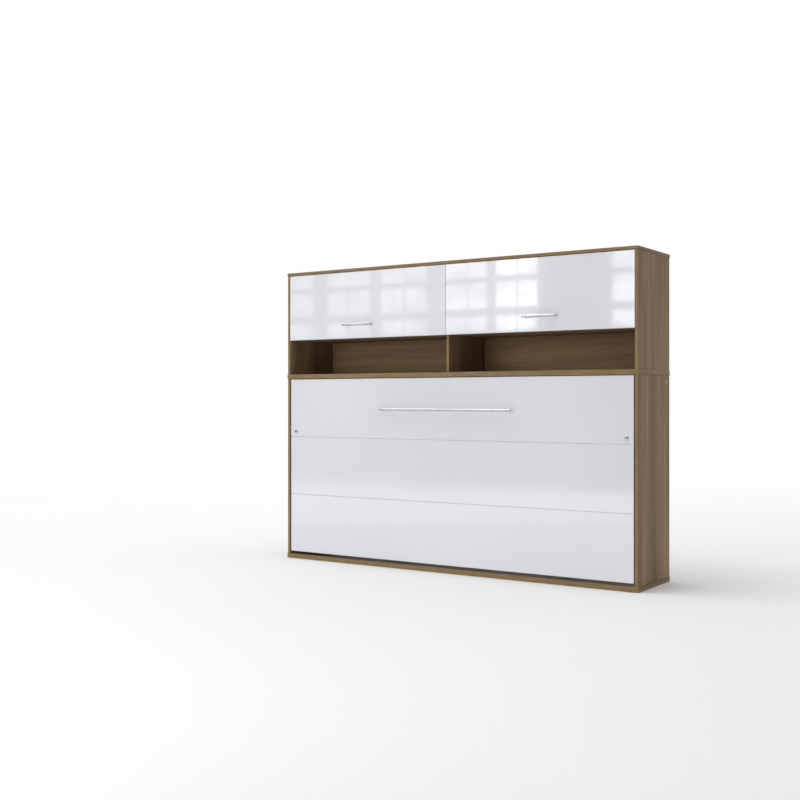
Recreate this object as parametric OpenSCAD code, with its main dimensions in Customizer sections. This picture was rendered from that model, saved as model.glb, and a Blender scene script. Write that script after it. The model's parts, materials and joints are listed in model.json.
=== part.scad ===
// Murphy wall bed: a cabinet with a sideways folding single bed below,
// two open niches and two flip-up flap doors above.
// Frame: X along the cabinet, Y from the front (-) to the wall (+), Z up.
// Origin: middle of the underside of the bottom board. The bed is folded up, the flaps are shut.
// Mirrored parts are drawn on the +X side and mirrored to the -X side.

/* [Cabinet] */
// Width over the outer faces of the cabinet sides
cabinet_w = 2147; // [2140:1:2160]
// Depth of the cabinet
cabinet_d = 415; // [400:1:450]
// Height of the cabinet
cabinet_h = 1650; // [1630:1:1700]
// Thickness of the sides, top, divider and shelves
board_t = 16; // [16:1:18]
// Thickness of the bottom and middle boards
thick_t = 25; // [22:1:28]
// How far the bottom, middle and top boards stand out past the sides
overhang = 2.5; // [0:0.5:4]
// Height of the middle board's underside
middle_z = 1038; // [1036:1:1042]
// Height of the shelves' undersides
shelf_z = 1260; // [1220:1:1300]
// Thickness of the upper back panel
back_t = 8; // [6:1:10]
// How far the shelves stand back from the front
shelf_recess = 20; // [18:1:30]
// How far the centre divider stands back from the front
divider_recess = 25; // [25:1:40]

/* [Bed] */
// Height of the lower edge of the bed front
front_z = 42; // [40:1:44]
// Gap between the bed front and the middle board
front_top_gap = 4; // [3:1:6]
// Gap between the bed front and each cabinet side
front_side_gap = 6.5; // [5:0.5:11]
// How far the bed front stands back from the cabinet's front edges
front_recess = 2; // [0:0.5:2]
// Thickness of the bed front's boards
front_t = 16; // [16:1:18]
// Height of the thin joint between two front boards
front_joint = 1; // [0.5:0.5:2]
// Length of the mattress
mattress_l = 1990; // [1950:5:1990]
// Width of the mattress
mattress_w = 900; // [880:5:900]
// Thickness of the mattress
mattress_t = 150; // [120:5:150]
// Depth of the bed's pivot behind the front face
pivot_d = 60; // [58:1:62]
// Height of the bed's pivot
pivot_z = 280; // [278:1:284]
// Side of the square steel rails
rail = 30; // [30:1:30]
// Width of the end rails, which carry the leg guides
end_rail_w = 44; // [42:1:46]
// Wall of the steel rails
rail_wall = 2; // [1.5:0.5:3]
// Number of slats
slat_count = 13; // [9:2:13]
// Width of a slat
slat_w = 60; // [50:1:70]

/* [Legs] */
// Distance of each leg from the middle of the bed
leg_x = 1014; // [1013:1:1015]
// Height of the legs on the folded bed
leg_z = 733; // [710:1:800]
// Diameter of a leg
leg_dia = 20; // [18:1:20]
// Diameter of a leg's foot
foot_dia = 24; // [22:1:26]
// Thickness of a leg's foot
foot_t = 6; // [4:1:8]

/* [Flaps] */
// Gap above the flap doors
flap_top_gap = 3; // [3:0.5:4]
// Gap between a flap door and the cabinet side
flap_side_gap = 1; // [1:0.5:2]
// Half the gap between the two flap doors
flap_mid_gap = 1.5; // [1:0.5:3]
// Depth of the flap hinge pins behind the front face
hinge_d = 7.5; // [7.5:0.1:7.6]
// Depth of the hinge pins below the flap's upper edge
hinge_drop = 13; // [13:1:14]
// Distance of the outer hinges from a flap's middle
hinge_pitch = 400; // [300:10:450]

/* [Handles] */
// Diameter of the handle bars
bar_dia = 12; // [10:1:14]
// Distance of a bar's middle from the front face
bar_reach = 29; // [26:1:35]
// Length of the bed's handle bar
bed_bar_l = 812; // [600:1:900]
// Distance between the bed handle's posts
bed_post_pitch = 768; // [500:1:800]
// Height of the bed's handle
bed_bar_z = 864; // [850:1:900]
// Length of a flap's handle bar
flap_bar_l = 196; // [180:1:260]
// Distance between a flap handle's posts
flap_post_pitch = 160; // [128:1:192]
// Distance of a flap's handle from the middle of the cabinet
flap_bar_x = 562; // [520:1:600]
// Height of a flap's handle
flap_bar_z = 1336; // [1300:1:1400]

/* [Hidden] */

$fn = 48;
eps = 0.01;
sides = [-1, 1];

// Rings on the handle bars
ring_gap = 6;
ring_w = 3;
ring_h = 1.5;

// Posts of the handles and their screws
post_r = 4.5;
rose_r = 7;
rose_t = 4;
handle_screw_r = 2;
handle_screw_bite = 8;
handle_screw_head_r = 4;
handle_screw_head_l = 2.5;

// Cabinet
front_y = -cabinet_d / 2;
back_y = cabinet_d / 2;
outer_x = cabinet_w / 2;
inner_x = outer_x - board_t;
top_z = cabinet_h - board_t;
upper_z = middle_z + thick_t;
panel_y = back_y - back_t;
rear_rail_h = 80;
rear_rail_d = 43;
rear_screw_z = 1007;
rail_screw_r = 3;
rail_screw_l = 48;
rail_screw_head_r = 5;
rail_screw_head_l = 5;
rail_screw_sunk = 2;
cap_r = 7;
cap_t = 1.2;
cap_plug_r = 4.5;
cap_plug_l = 1.5;
wall_hole_r = 4;
wall_hole_x = 700;
wall_hole_z = 985;
block_x = [-549, 0, 549];
block_w = 96;
block_t = 45;
block_h = 60;
dowel_r = 4;
dowel_l = 30;
dowel_bite = 10;
dowel_y = [-120, 0, 120];
dowel_fit = 0.05;
cam_x = 1023.5;
cam_d = 58;
cam_r = 7.5;
cam_h = 12;
cam_proud = 0.6;
buffer_x = [-859, -370.5, 370.5, 859];
buffer_r = 6;
buffer_h = 16;
buffer_clear = 0.3;
spigot_r = 2.5;
spigot_l = 10;
spigot_hole_l = 10.5;

// Bed front
front_top_z = middle_z - front_top_gap;
front_x = inner_x - front_side_gap;
front_back_d = front_recess + front_t;
front_board_h = (front_top_z - front_z - 2 * front_joint) / 3;

// Steel frame, lying flat behind the front boards
frame_x = 1029;
frame_low_z = 60;
frame_high_z = 1010;
frame_back_d = front_back_d + rail;
cross_x = 340;
slat_t = 8;
slat_d = frame_back_d + 2;
holder_l = 24;
holder_w = slat_w + 6;
holder_t = 12;
slat_pitch = 155;
mattress_d = pivot_d + 0.5;
mattress_low_z = 85;
strap_x = 2.5 * slat_pitch;
strap_w = 45;
strap_t = 2;
strap_gap = 0.3;
mattress_corner_r = 40;
buckle_z = pivot_z + 230;
buckle_size = [57, 5, 44];
buckle_border = 6;
buckle_slot_h = 12;
buckle_slot_pitch = 20;

// Pivots
pivot_y = front_y + pivot_d;
plate_t = 3;
pin_r = 8;
running = 0.05;
bush_r = 13;
bush_l = 12;
bed_plate_x = frame_x;
wall_plate_x = inner_x - plate_t;
stud_r = 4;
bed_stud_r = 6;
bed_stud_drop = 80;
stud_reach_y = 120;
stud_reach_z = 160;
bed_stud_h = 4.5;
bed_plate_drop = 150;
bed_plate_rise = 110;
bed_plate_hub_r = 22;
bed_plate_stud_hub_r = 14;
wall_plate_hub_r = 28;
wall_plate_w = 36;
wall_plate_stud_hub_r = 20;
plate_screw_r = 1.8;
plate_screw_l = 14;
plate_screw_head_r = 3.6;
plate_screw_head_l = 1.5;
wall_screw_low_y = 18;
wall_screw_shares = [0.35, 0.75];

// Guides of the legs
guide_r = 12.5;
guide_lip_r = 15;
guide_lip_t = 2;
leg_hole_gap = 0.3;
leg_l = 265;
leg_wall = 2;
leg_solid_l = 5;

// Gas springs of the bed: [outer radius, bore radius, rod radius, bore start, bore end]
spring_x = 1043.5;
spring = [9, 7.5, 4, 18, 141];
spring_closed = [stud_reach_y, stud_reach_z + bed_stud_drop];
spring_l = norm(spring_closed);
spring_angle = atan2(-spring_closed[1], -spring_closed[0]);
spring_eye_w = 12;
spring_piston_s = 124;

// Flaps
flap_low_z = shelf_z;
flap_high_z = top_z - flap_top_gap;
flap_w = inner_x - flap_side_gap - flap_mid_gap;
flap_mid_x = flap_mid_gap + flap_w / 2;
hinge_z = flap_high_z - hinge_drop;
hinge_y = front_y + hinge_d;
hinge_pin_r = 2;
hinge_pin_l = 34;
eye_r = 4.5;
arm_w = 8;
arm_back_d = 25;
arm_leg_t = 7;
flange_t = 3;
flange_w = 30;
flange_back_d = 62;
flange_screw_x = 9;
flange_screw_d = 47;
arm_h = 8;
pocket_gap = 0.5;
pocket_reach = 5;
hinge_pin_fit = 0.02;

// Gas struts of the flaps
strut_x = 1045;
strut = [7.5, 5.5, 3, 12, 106];
strut_eye_w = 8;
strut_piston_s = 14;
strut_stud_r = stud_r - 1;
strut_stud_l = 8;
tip_foot_low_x = 1012;
tip_arm_low_x = 1036;
tip_arm_high_x = 1039;
tip_foot_h = 36;
tip_arm_h = 16;
tip_foot_t = 2;
tip_hub_r = 8;
piston_l = 8;
piston_gap = 0.1;
gland_l = 4;
neck_share = 0.6;
strut_base_y = 100;
strut_base_z = -200;
strut_tip_y = 32;
strut_tip_z = -50;
strut_vector = [strut_tip_y - strut_base_y, strut_tip_z - strut_base_z];
strut_l = norm(strut_vector);
strut_angle = atan2(strut_vector[1], strut_vector[0]);

// Finishes
wood_colour = [0.46, 0.40, 0.33];
gloss_colour = [0.94, 0.94, 0.95];
chrome_colour = [0.80, 0.81, 0.83];
steel_colour = [0.35, 0.36, 0.38];
dark_colour = [0.14, 0.12, 0.11];
cloth_colour = [0.88, 0.87, 0.83];
beech_colour = [0.80, 0.66, 0.47];
light_colour = [0.78, 0.75, 0.70];

// A box from its low corner to its high corner
module box_from(low, high) {
    translate(low) cube(high - low);
}

// Draws its children on the +X side, or mirrored to the -X side
module on_side(side) {
    mirror([side < 0 ? 1 : 0, 0, 0]) children();
}

// A cylinder along +X
module along_x(r, l) {
    rotate([0, 90, 0]) cylinder(r = r, h = l);
}

// A cylinder along +Y
module along_y(r, l) {
    rotate([-90, 0, 0]) cylinder(r = r, h = l);
}

// Dowels between the uprights and the boards: [height of the dowel's lower end]
function dowel_ends() = [
    thick_t - dowel_bite,
    middle_z + dowel_bite - dowel_l,
    upper_z - dowel_bite,
    top_z + dowel_bite - dowel_l
];

module dowel_set(fit = 0) {
    for (side = sides)
        for (y = dowel_y)
            for (z = dowel_ends())
                translate([side * (outer_x - board_t / 2), y, z - fit])
                    cylinder(r = dowel_r + fit, h = dowel_l + 2 * fit);
}

module rail_screw_set(fit = 0) {
    for (side = sides)
        on_side(side)
            translate([outer_x - rail_screw_sunk - rail_screw_l, back_y - rear_rail_d, rear_screw_z]) {
                along_x(rail_screw_r + fit, rail_screw_l);
                translate([rail_screw_l - rail_screw_head_l - fit, 0, 0])
                    along_x(rail_screw_head_r + fit, rail_screw_head_l + fit);
            }
}

// Screws that hold the pivot brackets to the sides and the hinge arms to the top board
module plate_screw_set(fit = 0) {
    for (side = sides)
        on_side(side)
            for (place = bracket_screw_places())
                translate([wall_plate_x - plate_screw_head_l, place[0], place[1]]) {
                    along_x(plate_screw_r + fit, plate_screw_l + fit);
                    translate([-fit, 0, 0]) along_x(plate_screw_head_r + fit, plate_screw_head_l + fit);
                }
    for (x = hinge_places())
        for (dx = flange_screw_x * sides)
            translate([x + dx, front_y + flange_screw_d, top_z - flange_t - plate_screw_head_l]) {
                cylinder(r = plate_screw_r + fit, h = plate_screw_l + fit);
                translate([0, 0, -fit]) cylinder(r = plate_screw_head_r + fit, h = plate_screw_head_l + fit);
            }
}

function bracket_screw_places() = concat(
    [[pivot_y - wall_screw_low_y, pivot_z]],
    [for (share = wall_screw_shares) [pivot_y + share * stud_reach_y, pivot_z + share * stud_reach_z]]
);

function hinge_places() = [
    for (side = sides)
        for (i = [-1, 0, 1])
            side * flap_mid_x + i * hinge_pitch
];

// Cabinet boards

module wide_board(low_z, high_z) {
    difference() {
        box_from([-outer_x - overhang, front_y - overhang, low_z], [outer_x + overhang, back_y, high_z]);
        dowel_set(dowel_fit);
    }
}

module bottom_board() {
    color(wood_colour) wide_board(0, thick_t);
}

module middle_board() {
    color(wood_colour)
        difference() {
            wide_board(middle_z, upper_z);
            for (x = buffer_x)
                translate([x, buffer_y(), middle_z - eps]) cylinder(r = spigot_r + dowel_fit, h = spigot_hole_l);
        }
}

module top_board() {
    color(wood_colour)
        difference() {
            wide_board(top_z, cabinet_h);
            plate_screw_set(dowel_fit);
        }
}

module lower_side(side) {
    color(wood_colour)
        difference() {
            on_side(side) box_from([inner_x, front_y, thick_t], [outer_x, back_y, middle_z]);
            dowel_set(dowel_fit);
            rail_screw_set(dowel_fit);
            plate_screw_set(dowel_fit);
            on_side(side)
                translate([outer_x - rail_screw_sunk, back_y - rear_rail_d, rear_screw_z])
                    along_x(rail_screw_head_r + dowel_fit, rail_screw_sunk + eps);
        }
}

module upper_side(side) {
    color(wood_colour)
        difference() {
            on_side(side) box_from([inner_x, front_y, upper_z], [outer_x, back_y, top_z]);
            dowel_set(dowel_fit);
            on_side(side)
                translate([inner_x - eps, hinge_y + strut_base_y, hinge_z + strut_base_z])
                    along_x(strut_stud_r + dowel_fit, strut_stud_l);
        }
}

module centre_divider() {
    color(wood_colour)
        box_from([-board_t / 2, front_y + divider_recess, upper_z], [board_t / 2, panel_y, top_z]);
}

module shelf(side) {
    color(wood_colour)
        difference() {
            on_side(side)
                box_from([board_t / 2, front_y + shelf_recess, shelf_z], [inner_x, panel_y, shelf_z + board_t]);
            cam_lock_set(dowel_fit);
        }
}

module upper_back_panel() {
    color(wood_colour) box_from([-inner_x, panel_y, upper_z], [inner_x, back_y, top_z]);
}

module rear_rail() {
    rail_y = back_y - rear_rail_d;
    color(wood_colour)
        difference() {
            box_from([-inner_x, rail_y - board_t / 2, middle_z - rear_rail_h],
                [inner_x, rail_y + board_t / 2, middle_z]);
            rail_screw_set(dowel_fit);
            for (side = sides)
                translate([side * wall_hole_x, rail_y - board_t, wall_hole_z]) along_y(wall_hole_r, 2 * board_t);
        }
}

module wall_blocks() {
    color(dark_colour)
        for (x = block_x)
            difference() {
                box_from([x - block_w / 2, back_y - block_t, thick_t],
                    [x + block_w / 2, back_y, thick_t + block_h]);
                translate([x, back_y - block_t - 1, thick_t + block_h / 2]) along_y(wall_hole_r, block_t + 2);
            }
}

module dowels() {
    color(beech_colour) dowel_set();
}

module rail_screws() {
    color(steel_colour) rail_screw_set();
}

module screw_caps() {
    color(light_colour)
        for (side = sides)
            on_side(side)
                translate([outer_x, back_y - rear_rail_d, rear_screw_z]) {
                    along_x(cap_r, cap_t);
                    translate([-cap_plug_l, 0, 0]) along_x(cap_plug_r, cap_plug_l);
                }
}

module cam_lock_set(fit = 0) {
    for (side = sides)
        translate([side * cam_x, front_y + cam_d, shelf_z - cam_proud]) cylinder(r = cam_r + fit, h = cam_h + fit);
}

module cam_locks() {
    color(light_colour) cam_lock_set();
}

function buffer_y() = front_y + front_back_d + buffer_clear + buffer_r;

module closing_buffers() {
    color(dark_colour)
        for (x = buffer_x)
            translate([x, buffer_y(), middle_z - buffer_h]) {
                cylinder(r = buffer_r, h = buffer_h);
                translate([0, 0, buffer_h]) cylinder(r = spigot_r, h = spigot_l);
            }
}

// Pivot bracket on the cabinet side: plate, pivot pin and the gas spring's upper stud
module pivot_bracket(side) {
    color(steel_colour)
        on_side(side)
            difference() {
                union() {
                    translate([wall_plate_x, pivot_y, pivot_z]) {
                        along_x(wall_plate_hub_r, plate_t);
                        rotate([atan2(stud_reach_z, stud_reach_y), 0, 0])
                            translate([0, 0, -wall_plate_w / 2])
                                cube([plate_t, norm([stud_reach_y, stud_reach_z]), wall_plate_w]);
                        translate([0, stud_reach_y, stud_reach_z]) along_x(wall_plate_stud_hub_r, plate_t);
                    }
                    translate([bed_plate_x + 0.5, pivot_y, pivot_z])
                        along_x(pin_r, wall_plate_x - bed_plate_x);
                    translate([spring_x - spring_eye_w / 2 - 1, pivot_y + stud_reach_y, pivot_z + stud_reach_z])
                        along_x(stud_r, wall_plate_x - spring_x + spring_eye_w / 2 + 2);
                }
                plate_screw_set(dowel_fit);
            }
}

// Fixed arms that carry the flaps' hinge pins
module flap_hinge_arms() {
    color(steel_colour)
        difference() {
            for (x = hinge_places()) {
                translate([x, hinge_y, hinge_z]) {
                    difference() {
                        union() {
                            translate([-arm_w / 2, 0, 0]) along_x(eye_r, arm_w);
                            box_from([-arm_w / 2, 0, -arm_h / 2], [arm_w / 2, arm_back_d - hinge_d + arm_leg_t, arm_h / 2]);
                        }
                        translate([-arm_w, 0, 0]) along_x(hinge_pin_r + running, 2 * arm_w);
                    }
                }
                box_from([x - arm_w / 2, front_y + arm_back_d, hinge_z - arm_h / 2],
                    [x + arm_w / 2, front_y + arm_back_d + arm_leg_t, top_z]);
                box_from([x - flange_w / 2, front_y + arm_back_d, top_z - flange_t],
                    [x + flange_w / 2, front_y + flange_back_d, top_z]);
            }
            plate_screw_set(dowel_fit);
        }
}

module plate_screws() {
    color(chrome_colour) plate_screw_set();
}

// Bed

module leg_cut(r, low_d, high_d) {
    for (side = sides)
        translate([side * leg_x, front_y + low_d, leg_z]) along_y(r, high_d - low_d);
}

module handle_screw_set(fit = 0) {
    for (x = [-bed_post_pitch / 2, bed_post_pitch / 2])
        translate([x, front_y - handle_screw_bite, bed_bar_z]) {
            along_y(handle_screw_r + fit, front_back_d + handle_screw_bite);
            translate([0, front_back_d + handle_screw_bite, 0]) along_y(handle_screw_head_r + fit, handle_screw_head_l);
        }
}

module front_board(index) {
    low_z = front_z + index * (front_board_h + front_joint);
    color(gloss_colour)
        difference() {
            box_from([-front_x, front_y + front_recess, low_z], [front_x, front_y + front_back_d, low_z + front_board_h]);
            leg_cut(leg_dia / 2 + leg_hole_gap, -1, front_back_d + 1);
            handle_screw_set(dowel_fit);
        }
}

module tube_along_x(low, high) {
    difference() {
        box_from(low, high);
        box_from(low + [-eps, rail_wall, rail_wall], high - [-eps, rail_wall, rail_wall]);
    }
}

module tube_along_z(low, high) {
    difference() {
        box_from(low, high);
        box_from(low + [rail_wall, rail_wall, -eps], high - [rail_wall, rail_wall, -eps]);
    }
}

module long_rail(low_z) {
    color(steel_colour)
        tube_along_x([-frame_x, front_y + front_back_d, low_z], [frame_x, front_y + frame_back_d, low_z + rail]);
}

module end_rail(side) {
    color(steel_colour)
        difference() {
            on_side(side)
                tube_along_z([frame_x - end_rail_w, front_y + front_back_d, frame_low_z + rail],
                    [frame_x, front_y + frame_back_d, frame_high_z - rail]);
            leg_cut(guide_r + dowel_fit, front_back_d - 1, frame_back_d + 1);
        }
}

module frame_cross_rails() {
    color(steel_colour)
        for (side = sides)
            tube_along_z([side * cross_x - rail / 2, front_y + front_back_d, frame_low_z + rail],
                [side * cross_x + rail / 2, front_y + frame_back_d, frame_high_z - rail]);
}

function slat_places() = [for (i = [0 : slat_count - 1]) (i - (slat_count - 1) / 2) * slat_pitch];

slat_low_z = frame_low_z + 5;
slat_high_z = frame_high_z - 5;

module slat_set(fit = 0) {
    for (x = slat_places())
        box_from([x - slat_w / 2 - fit, front_y + slat_d - fit, slat_low_z - fit],
            [x + slat_w / 2 + fit, front_y + slat_d + slat_t + fit, slat_high_z + fit]);
}

module slats() {
    color(beech_colour) slat_set();
}

module slat_holders() {
    color(dark_colour)
        difference() {
            for (x = slat_places())
                for (z = [frame_low_z + 1, frame_high_z - 1 - holder_l])
                    box_from([x - holder_w / 2, front_y + frame_back_d, z],
                        [x + holder_w / 2, front_y + frame_back_d + holder_t, z + holder_l]);
            slat_set(dowel_fit);
        }
}

// Soft block, rounded as seen from the front
module soft_block(low, high, r) {
    translate([0, high[1], 0])
        rotate([90, 0, 0])
            linear_extrude(height = high[1] - low[1]) {
                translate([low[0] + r, low[2]]) square([high[0] - low[0] - 2 * r, high[2] - low[2]]);
                translate([low[0], low[2] + r]) square([high[0] - low[0], high[2] - low[2] - 2 * r]);
                for (x = [low[0] + r, high[0] - r])
                    for (z = [low[2] + r, high[2] - r])
                        translate([x, z]) circle(r = r);
            }
}

module mattress() {
    color(cloth_colour)
        soft_block([-mattress_l / 2, front_y + mattress_d, mattress_low_z],
            [mattress_l / 2, front_y + mattress_d + mattress_t, mattress_low_z + mattress_w], mattress_corner_r);
}

strap_back_d = mattress_d + mattress_t + strap_gap;

module mattress_straps() {
    color(dark_colour)
        for (side = sides)
            difference() {
                box_from([side * strap_x - strap_w / 2, front_y + frame_back_d,
                        mattress_low_z - strap_gap - strap_t],
                    [side * strap_x + strap_w / 2, front_y + strap_back_d + strap_t,
                        mattress_low_z + mattress_w + strap_gap + strap_t]);
                box_from([side * strap_x - strap_w, front_y, mattress_low_z - strap_gap],
                    [side * strap_x + strap_w, front_y + strap_back_d, mattress_low_z + mattress_w + strap_gap]);
            }
}

module strap_buckles() {
    color(steel_colour)
        for (side = sides)
            translate([side * strap_x - buckle_size[0] / 2, front_y + strap_back_d + strap_t, buckle_z])
                difference() {
                    cube(buckle_size);
                    for (slot = [0, 1])
                        translate([buckle_border, -1, buckle_border + slot * buckle_slot_pitch])
                            cube([strap_w, buckle_size[1] + 2, buckle_slot_h]);
                }
}

// Steel plate on the bed's end rail, with the hole for the pivot bush and the gas spring's lower stud
module pivot_plate(side) {
    color(steel_colour)
        on_side(side)
            difference() {
                translate([bed_plate_x, 0, 0]) {
                    box_from([0, front_y + front_back_d + 2, pivot_z - bed_plate_drop],
                        [plate_t, pivot_y, pivot_z + bed_plate_rise]);
                    translate([0, pivot_y, pivot_z]) along_x(bed_plate_hub_r, plate_t);
                    translate([0, pivot_y, pivot_z - bed_stud_drop]) along_x(bed_plate_stud_hub_r, plate_t);
                    translate([plate_t, pivot_y, pivot_z - bed_stud_drop]) along_x(bed_stud_r, bed_stud_h);
                }
                translate([bed_plate_x - 1, pivot_y, pivot_z]) along_x(bush_r + dowel_fit, plate_t + 2);
            }
}

module pivot_bushes() {
    color(light_colour)
        for (side = sides)
            on_side(side)
                translate([bed_plate_x, pivot_y, pivot_z])
                    difference() {
                        along_x(bush_r, bush_l);
                        translate([-1, 0, 0]) along_x(pin_r + running, bush_l + 2);
                    }
}

module leg_bushes() {
    color(dark_colour)
        difference() {
            union() {
                leg_cut(guide_r, front_back_d, pivot_d);
                leg_cut(guide_lip_r, frame_back_d, frame_back_d + guide_lip_t);
            }
            leg_cut(leg_dia / 2 + running, front_back_d - 1, pivot_d + 1);
        }
}

module leg(side) {
    color(chrome_colour)
        on_side(side)
            translate([leg_x, front_y + front_recess, leg_z]) {
                translate([0, -foot_t, 0]) along_y(foot_dia / 2, foot_t);
                difference() {
                    along_y(leg_dia / 2, leg_l);
                    translate([0, leg_solid_l, 0]) along_y(leg_dia / 2 - leg_wall, leg_l);
                }
            }
}

// Handles

// Round bar with a ring on each side of every post
module bar(middle_x, z, l, pitch) {
    translate([middle_x, front_y - bar_reach, z]) {
        translate([-l / 2, 0, 0]) along_x(bar_dia / 2, l);
        for (post = [-pitch / 2, pitch / 2])
            for (ring = [-ring_gap - ring_w, ring_gap])
                translate([post + ring, 0, 0]) along_x(bar_dia / 2 + ring_h, ring_w);
    }
}

module posts(middle_x, z, pitch, reach) {
    for (x = [middle_x - pitch / 2, middle_x + pitch / 2])
        translate([x, front_y - bar_reach, z]) {
            along_y(post_r, reach);
            translate([0, reach - rose_t, 0]) along_y(rose_r, rose_t);
        }
}

module bed_handle_bar() {
    color(chrome_colour) bar(0, bed_bar_z, bed_bar_l, bed_post_pitch);
}

module bed_handle_posts() {
    color(chrome_colour)
        difference() {
            posts(0, bed_bar_z, bed_post_pitch, bar_reach + front_recess);
            bar(0, bed_bar_z, bed_bar_l, bed_post_pitch);
            handle_screw_set(dowel_fit);
        }
}

module handle_screws() {
    color(steel_colour) handle_screw_set();
}

module flap_handle(side) {
    color(chrome_colour) {
        bar(side * flap_bar_x, flap_bar_z, flap_bar_l, flap_post_pitch);
        posts(side * flap_bar_x, flap_bar_z, flap_post_pitch, bar_reach);
    }
}

// Gas strut, drawn from its fixed eye along +Z towards its rod end
module gas_cylinder(size, eye_w, eye_stud_r) {
    difference() {
        union() {
            translate([0, 0, size[0]]) cylinder(r = size[0], h = size[4] + gland_l - size[0]);
            cylinder(r = neck_share * size[0], h = size[0] + 1);
            translate([-eye_w / 2, 0, 0]) along_x(size[0], eye_w);
        }
        translate([0, 0, size[3]]) cylinder(r = size[1], h = size[4] - size[3]);
        cylinder(r = size[2] + piston_gap, h = 2 * size[4]);
        translate([-eye_w, 0, 0]) along_x(eye_stud_r + running, 2 * eye_w);
    }
}

module gas_rod(size, eye_w, l, piston_s) {
    translate([0, 0, piston_s]) cylinder(r = size[2], h = l - piston_s);
    translate([0, 0, piston_s]) cylinder(r = size[1] - piston_gap, h = piston_l);
    translate([-eye_w / 2, 0, l]) along_x(size[0] - 1, eye_w);
}

// Moves its children from the strut's own frame to its place between base and tip
module strut_place(side, x, base_y, base_z, angle) {
    on_side(side)
        translate([x, base_y, base_z])
            rotate([angle - 90, 0, 0])
                children();
}

module spring_place(side) {
    strut_place(side, spring_x, pivot_y + stud_reach_y, pivot_z + stud_reach_z, spring_angle) children();
}

module flap_strut_place(side) {
    strut_place(side, strut_x, hinge_y + strut_base_y, hinge_z + strut_base_z, strut_angle) children();
}

module spring_cylinder(side) {
    color(dark_colour) spring_place(side) gas_cylinder(spring, spring_eye_w, stud_r);
}

module spring_rod(side) {
    color(chrome_colour) spring_place(side) gas_rod(spring, spring_eye_w, spring_l, spring_piston_s);
}

module flap_strut_cylinder(side) {
    color(dark_colour) flap_strut_place(side) gas_cylinder(strut, strut_eye_w, strut_stud_r);
}

module flap_strut_rod(side) {
    color(chrome_colour) flap_strut_place(side) gas_rod(strut, strut_eye_w, strut_l, strut_piston_s);
}

// Flap doors

module hinge_pin_set(side, fit = 0) {
    for (i = [-1, 0, 1])
        translate([side * flap_mid_x + i * hinge_pitch - hinge_pin_l / 2 - fit, hinge_y, hinge_z])
            along_x(hinge_pin_r + fit, hinge_pin_l + 2 * fit);
}

module flap_door(side) {
    color(gloss_colour)
        difference() {
            box_from([side * flap_mid_x - flap_w / 2, front_y, flap_low_z],
                [side * flap_mid_x + flap_w / 2, front_y + board_t, flap_high_z]);
            hinge_pin_set(side, hinge_pin_fit);
            for (i = [-1, 0, 1])
                translate([side * flap_mid_x + i * hinge_pitch, hinge_y, hinge_z])
                    box_from([-arm_w / 2 - pocket_gap, -pocket_reach, -pocket_reach],
                        [arm_w / 2 + pocket_gap, board_t, hinge_drop + 1]);
        }
}

module hinge_pins(side) {
    color(chrome_colour) hinge_pin_set(side);
}

// Bracket on the flap's inner face, with the strut's stud
module strut_bracket(side) {
    color(steel_colour)
        on_side(side) {
            box_from([tip_foot_low_x, front_y + board_t, hinge_z + strut_tip_z - tip_foot_h / 2],
                [tip_arm_high_x, front_y + board_t + tip_foot_t, hinge_z + strut_tip_z + tip_foot_h / 2]);
            box_from([tip_arm_low_x, front_y + board_t, hinge_z + strut_tip_z - tip_arm_h / 2],
                [tip_arm_high_x, hinge_y + strut_tip_y, hinge_z + strut_tip_z + tip_arm_h / 2]);
            translate([tip_arm_low_x, hinge_y + strut_tip_y, hinge_z + strut_tip_z])
                along_x(tip_hub_r, tip_arm_high_x - tip_arm_low_x);
        }
}

bottom_board();
lower_side(-1);  // lower_left_side
lower_side(1);  // lower_right_side
middle_board();
upper_side(-1);  // upper_left_side
upper_side(1);  // upper_right_side
top_board();
centre_divider();
shelf(-1);  // left_shelf
shelf(1);  // right_shelf
upper_back_panel();
rear_rail();
wall_blocks();
dowels();
rail_screws();
screw_caps();
cam_locks();
closing_buffers();
pivot_bracket(-1);  // left_pivot_bracket
pivot_bracket(1);  // right_pivot_bracket
flap_hinge_arms();
plate_screws();
front_board(0);  // front_board_lower
front_board(1);  // front_board_middle
front_board(2);  // front_board_upper
long_rail(frame_high_z - rail);  // frame_top_rail
long_rail(frame_low_z);  // frame_bottom_rail
end_rail(-1);  // frame_left_end_rail
end_rail(1);  // frame_right_end_rail
frame_cross_rails();
slats();
slat_holders();
mattress();
mattress_straps();
strap_buckles();
pivot_plate(-1);  // left_pivot_plate
pivot_plate(1);  // right_pivot_plate
pivot_bushes();
leg_bushes();
bed_handle_bar();
bed_handle_posts();
handle_screws();
leg(-1);  // left_leg
leg(1);  // right_leg
spring_cylinder(-1);  // left_gas_spring_cylinder
spring_rod(-1);  // left_gas_spring_rod
spring_cylinder(1);  // right_gas_spring_cylinder
spring_rod(1);  // right_gas_spring_rod
flap_door(-1);  // left_flap_door
flap_door(1);  // right_flap_door
flap_handle(-1);  // left_flap_handle
flap_handle(1);  // right_flap_handle
hinge_pins(-1);  // left_hinge_pins
hinge_pins(1);  // right_hinge_pins
strut_bracket(-1);  // left_strut_bracket
strut_bracket(1);  // right_strut_bracket
flap_strut_cylinder(-1);  // left_flap_strut_cylinder
flap_strut_rod(-1);  // left_flap_strut_rod
flap_strut_cylinder(1);  // right_flap_strut_cylinder
flap_strut_rod(1);  // right_flap_strut_rod
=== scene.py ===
# %% [markdown]
# # A wall bed with two niches and two flaps
#
# The object is a tall, shallow cabinet of printed oak board. A single bed is folded up in its
# lower part behind three white lacquered boards, and above it are two open niches and two flaps.
# The engineering model already holds every part at its real size. This lesson loads it, gives
# the parts that show their real edges, curves and cloth, and paints everything with node
# materials. The first cell loads the model.

# %% Load the model
import json
import math

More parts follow.
